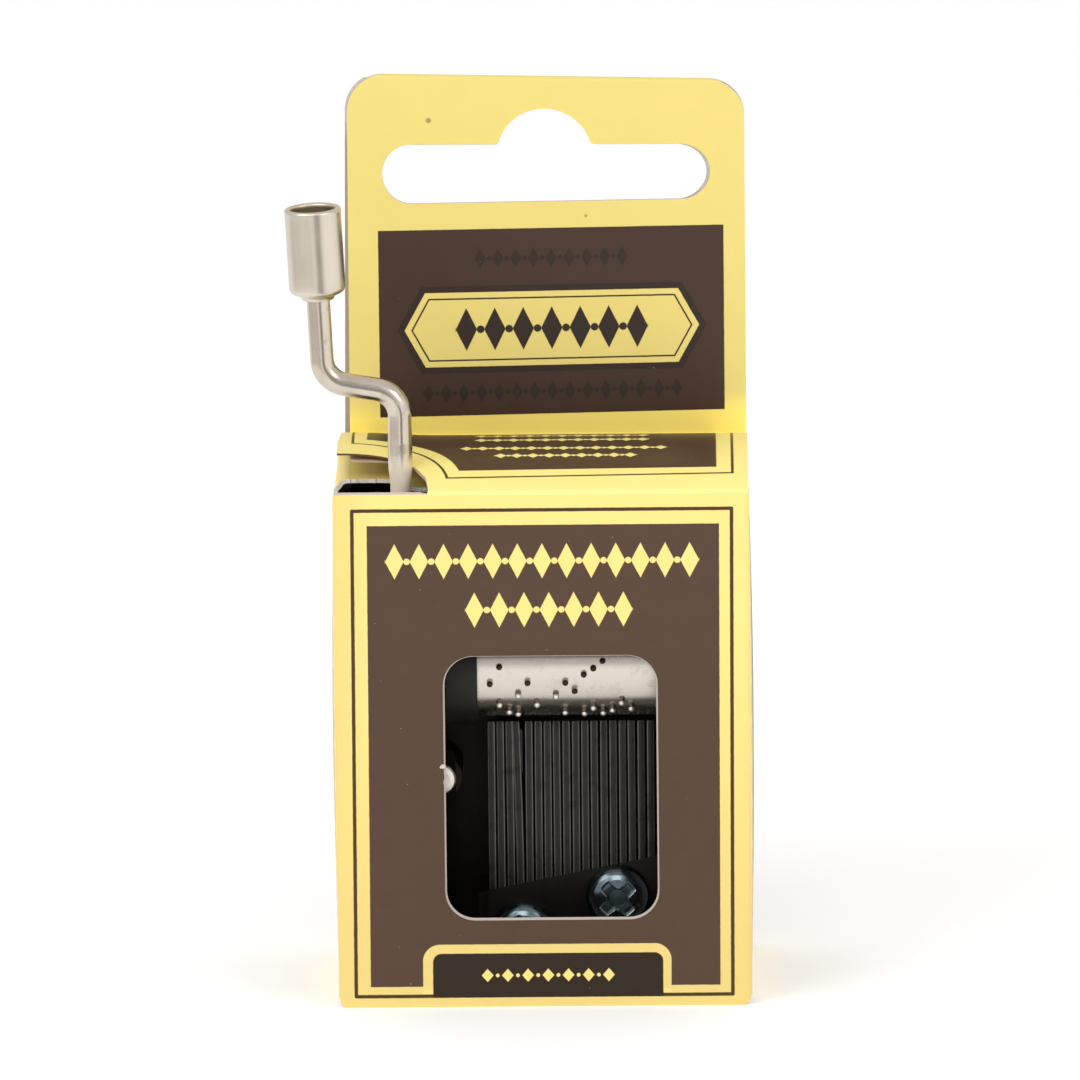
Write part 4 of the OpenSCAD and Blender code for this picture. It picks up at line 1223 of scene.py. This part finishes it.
verts, faces, index = [], [], []
for i in range(18):
    v, f, m = tooth(i, 100 + i)
    faces += [tuple(x + len(verts) for x in q) for q in f]
    index += m
    verts += v
teeth = link_mesh("comb_teeth", verts, faces, [COMB_STEEL, COMB_EDGE], smooth=25, indices=index)
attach(teeth, "carton")
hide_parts("comb")


def flat_map(y):
    def f(u, t):
        return np.stack([u, 0 * u + y, t], 1), np.stack([0 * u, 0 * u - 1, 0 * u], 1)
    return f


body = dense([(-6.15, 2.2), (12.25, 2.2), (12.25, ROOT(17) + 0.2), (-6.15, ROOT(0) - 0.1)], 1.2)
holes = [arc(7.5, 9.1, 1.45, 0, 350, 35), arc(-2.4, 5.7, 1.45, 0, 350, 35)]
v2, tr = triangulate(body, holes, [], step=2.0)
comb_body = card_mesh("comb_body", v2, tr, flat_map(CY0), (COMB_ROOT, COMB_ROOT, COMB_ROOT), 0.9)
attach(comb_body, "carton")
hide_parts("comb")

# ---- pins, each a cut length of wire, their ends and sides painted dark or bright: painted shade and painted highlights
PIN_FRONT = [(0, 79), (1, 96), (3, 66), (4, 80), (7, 65), (8, 80), (9, 71), (10, 88), (11, 94), (12, 101), (1, 54), (2, 42),
             (3, 38), (5, 54), (8, 40), (10, 38), (11, 48), (12, 39), (13, 44), (14, 56), (15, 47)]
PIN_BACK = [((k * 7 + 3) % 18, 104 + (k * 37 + (k % 5) * 11) % 228) for k in range(1, 38)]
verts, faces, index = [], [], []
for j, (col, deg) in enumerate(PIN_FRONT + PIN_BACK):
    out_dir = Vector((0, -math.sin(deg * RAD), -math.cos(deg * RAD)))
    across = Vector((1, 0, 0))
    third = out_dir.cross(across)
    centre = Vector((TOOTH(col), -1.3, AZ))
    tilt = rng.normal(0, 0.03, 2)

    def place(r, a, s):
        p = centre + out_dir * s + across * (r * math.cos(a)) + third * (r * math.sin(a))
        return tuple(p + (across * tilt[0] + third * tilt[1]) * (s - 5.9))
    prof = [(0.0, 5.8), (0.33, 5.8), (0.33, 6.42), (0.32, 6.52), (0.26, 6.62), (0.19, 6.68), (0.10, 6.70), (0.0, 6.70)]
    v, f = revolve(prof, 20, place, closed=False)
    faces += [tuple(x + len(verts) for x in q) for q in f]
    # some ends are painted dark as painted shade with their sides painted bright as a painted highlight; the others
    # have ends painted bright as a painted highlight and sides painted dark as painted shade
    dark = (j < 10 and j not in (2, 4)) or (j > 20 and j % 3 == 0)
    index += [(1 if dark else 2) if k >= len(f) - 100 else (3 if dark else 0) for k, q in enumerate(f)]
    verts += v
pins = link_mesh("cylinder_pin_set", verts, faces, [PIN_SIDE, PIN_END, PIN_TIP_PAINTED_LIGHT, PIN_MID], indices=index)
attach(pins, "cylinder")
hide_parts("cylinder_pins")


# ---- comb screws: pan heads with a tapered cross recess
def cross_screw(name, cx, cz, turn):
    R, n_a = 3.4, 128
    prof = [(0.0, 1.98), (0.8, 1.95), (1.5, 1.86), (2.1, 1.70), (2.6, 1.46), (2.95, 1.18), (3.2, 0.85), (3.34, 0.55), (3.4, 0.25)]
    pr, ph = [p[0] for p in prof], [p[1] for p in prof]

    def height(r, a):
        x, y = r * math.cos(a - turn * RAD), r * math.sin(a - turn * RAD)
        h = float(np.interp(r, pr, ph))
        depth = 0.0
        for p, q in ((x, y), (y, x)):
            # one arm of the cross: half width grows a little towards the middle, walls slope
            half = 0.56 + 0.14 * max(0.0, 1 - abs(p) / 2.0)
            end = 2.05 - abs(p)
            wall = min((half - abs(q)) / 0.16, end / 0.26)
            depth = max(depth, min(1.0, max(0.0, wall + 0.30)) * (0.42 + 0.30 * max(0.0, 1 - abs(p) / 1.6)))
        # rounded web between the arms
        web = 1.22 - math.hypot(x, y)
        depth = max(depth, min(1.0, max(0.0, web / 0.32)) * 0.72)
        sunk[(round(r, 4), round(a, 5))] = depth
        return h - depth
    sunk = {}
    verts, faces = [(cx, CY0 - height(0, 0), cz)], []
    radii = np.concatenate([np.linspace(0.05, 2.25, 48), np.linspace(2.33, 3.34, 12), [3.4]])
    deep = [0.72]
    for r in radii:
        for k in range(n_a):
            a = 2 * math.pi * k / n_a
            verts.append((cx + r * math.cos(a), CY0 - height(r, a), cz + r * math.sin(a)))
            deep.append(sunk[(round(r, 4), round(a, 5))])
    last = len(radii)
    for r, y in ((3.4, CY0 - 0.06), (3.35, CY0), (1.4, CY0), (1.4, CY0 + 5.4), (1.2, CY0 + 5.5)):
        for k in range(n_a):
            a = 2 * math.pi * k / n_a
            verts.append((cx + r * math.cos(a), y, cz + r * math.sin(a)))
    rows = last + 5
    for k in range(n_a):
        faces.append((0, 1 + k, 1 + (k + 1) % n_a))
    for i in range(rows - 1):
        for k in range(n_a):
            a, b = 1 + i * n_a, 1 + (i + 1) * n_a
            faces.append((a + k, b + k, b + (k + 1) % n_a, a + (k + 1) % n_a))
    verts.append((cx, CY0 + 5.5, cz))
    a = 1 + (rows - 1) * n_a
    for k in range(n_a):
        faces.append((a + k, a + (k + 1) % n_a, len(verts) - 1))
    deep += [0.0] * (len(verts) - len(deep))
    # the recess's lip is painted bright, a painted highlight; its inside is painted a little darker, painted shade
    index = []
    for q in faces:
        d = [deep[i] for i in q]
        index.append(1 if max(d) > 0.02 and min(d) < 0.24 else (2 if min(d) >= 0.24 else 0))
    ob = link_mesh(name, verts, faces, [BLUED, BLUED_EDGE, BLUED_DEEP], smooth=50, indices=index)
    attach(ob, "carton")
    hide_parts("comb_screws")
    return ob


cross_screw("comb_screw_right", 7.7, 9.35, 42)
cross_screw("comb_screw_left", -2.45, 5.5, 25)

# ---------------------------------------------------------------- stage, lights, camera
floor_me = bpy.data.meshes.new("floor")
bm = bmesh.new()
bmesh.ops.create_grid(bm, x_segments=8, y_segments=8, size=3.0)
bm.to_mesh(floor_me)
bm.free()
floor = bpy.data.objects.new("floor", floor_me)
bpy.context.scene.collection.objects.link(floor)
fm = Mat("floor_paper", Roughness=0.9)
fm.b.inputs["Specular IOR Level"].default_value = 0.1
fm.base(fm.shade((0.97, 0.97, 0.97), (fm.noise(0.02) - 0.5) * 0.01 + 1.0))
fm.b.inputs["Emission Color"].default_value = (1, 1, 1, 1)
fm.b.inputs["Emission Strength"].default_value = 0.15
floor_me.materials.append(fm.m)

scene = bpy.context.scene
scene.view_settings.view_transform = "Standard"
world = bpy.data.worlds.new("studio")
scene.world = world
world.use_nodes = True
wt = world.node_tree
bg = wt.nodes["Background"]
tc = wt.nodes.new("ShaderNodeTexCoord")
sep = wt.nodes.new("ShaderNodeSeparateXYZ")
wt.links.new(tc.outputs["Generated"], sep.inputs[0])
ramp = wt.nodes.new("ShaderNodeMapRange")
ramp.interpolation_type = "SMOOTHSTEP"
wt.links.new(sep.outputs["Y"], ramp.inputs[0])
ramp.inputs[1].default_value, ramp.inputs[2].default_value = -0.99, -0.80
ramp.inputs[3].default_value, ramp.inputs[4].default_value = 0.62, 0.78
wt.links.new(ramp.outputs[0], bg.inputs["Strength"])
bg.inputs["Color"].default_value = (1, 1, 1, 1)


def area(name, loc, target, size, power, colour=(1, 1, 1)):
    d = bpy.data.lights.new(name, "AREA")
    d.shape, d.size, d.size_y, d.energy, d.color = "RECTANGLE", size[0], size[1], power, colour
    o = bpy.data.objects.new(name, d)
    o.location = loc
    o.rotation_mode = "QUATERNION"
    o.rotation_quaternion = (Vector(target) - Vector(loc)).to_track_quat("-Z", "Y")
    scene.collection.objects.link(o)
    return o


def reflector(name, points, z0, z1, strength):
    """A studio panel that only polished metal sees: an upright sheet over a line of (x, y) points, in millimetres."""
    verts = [(x * MM, y * MM, z * MM) for z in (z0, z1) for x, y in points]
    k = len(points)
    me = bpy.data.meshes.new(name)
    me.from_pydata(verts, [], [(i, i + 1, k + i + 1, k + i) for i in range(k - 1)])
    m = Mat(name + "_cloth", Roughness=0.9)
    m.base(m.shade((strength, strength, strength), (m.noise(0.05) - 0.5) * 0.1))
    m.b.inputs["Specular IOR Level"].default_value = 0.0
    m.b.inputs["Emission Color"].default_value = (1.0, 0.985, 0.96, 1.0)
    m.b.inputs["Emission Strength"].default_value = strength
    me.materials.append(m.m)
    o = bpy.data.objects.new(name, me)
    scene.collection.objects.link(o)
    o.visible_camera = o.visible_diffuse = o.visible_shadow = o.visible_transmission = False


def ring(a0, a1, r=215.0, n=16):
    return [(-19 + r * math.sin(a * RAD), -7.5 - r * math.cos(a * RAD)) for a in np.linspace(a0, a1, n)]


reflector("panel_left", ring(-9, -112), 0.5, 130, 0.74)
reflector("panel_right", ring(34, 98), 0.5, 130, 1.2)
reflector("flag_rod", [(-12.9, -30), (-3.9, -30)], 50, 62.5, 0.26)
reflector("flag_knob", [(-21.7, -30), (-11.3, -30)], 62.5, 90, 0.36)
area("key", (-0.60, -0.60, 0.58), (0, 0, 0.045), (0.6, 0.6), 2.9)
area("fill", (0.66, -0.58, 0.42), (0, 0, 0.045), (0.45, 0.6), 1.5)
area("front", (-0.05, -1.15, 0.80), (0, 0, 0.045), (0.5, 0.35), 2.0)

cam_d = bpy.data.cameras.new("camera")
cam_o = bpy.data.objects.new("camera", cam_d)
scene.collection.objects.link(cam_o)
scene.camera = cam_o
cam_d.sensor_width = 36.0
cam_d.lens = 13260 / 1080 * 36.0
cam_d.clip_start, cam_d.clip_end = 0.05, 20.0
target = Vector((-0.1, -12.7, 50.95)) * MM
el, az, roll = 13 * RAD, 0.6 * RAD, 0.6 * RAD
back_v = Vector((math.sin(az) * math.cos(el), -math.cos(az) * math.cos(el), math.sin(el)))
right_v = Vector((math.cos(az), math.sin(az), 0))
up_v = back_v.cross(right_v)
r2 = math.cos(roll) * right_v - math.sin(roll) * up_v
u2 = math.sin(roll) * right_v + math.cos(roll) * up_v
rot = Matrix((r2, u2, back_v)).transposed()
cam_o.rotation_mode = "QUATERNION"
cam_o.rotation_quaternion = rot.to_quaternion()
cam_o.location = target + back_v * 1.4

bpy.context.view_layer.update()
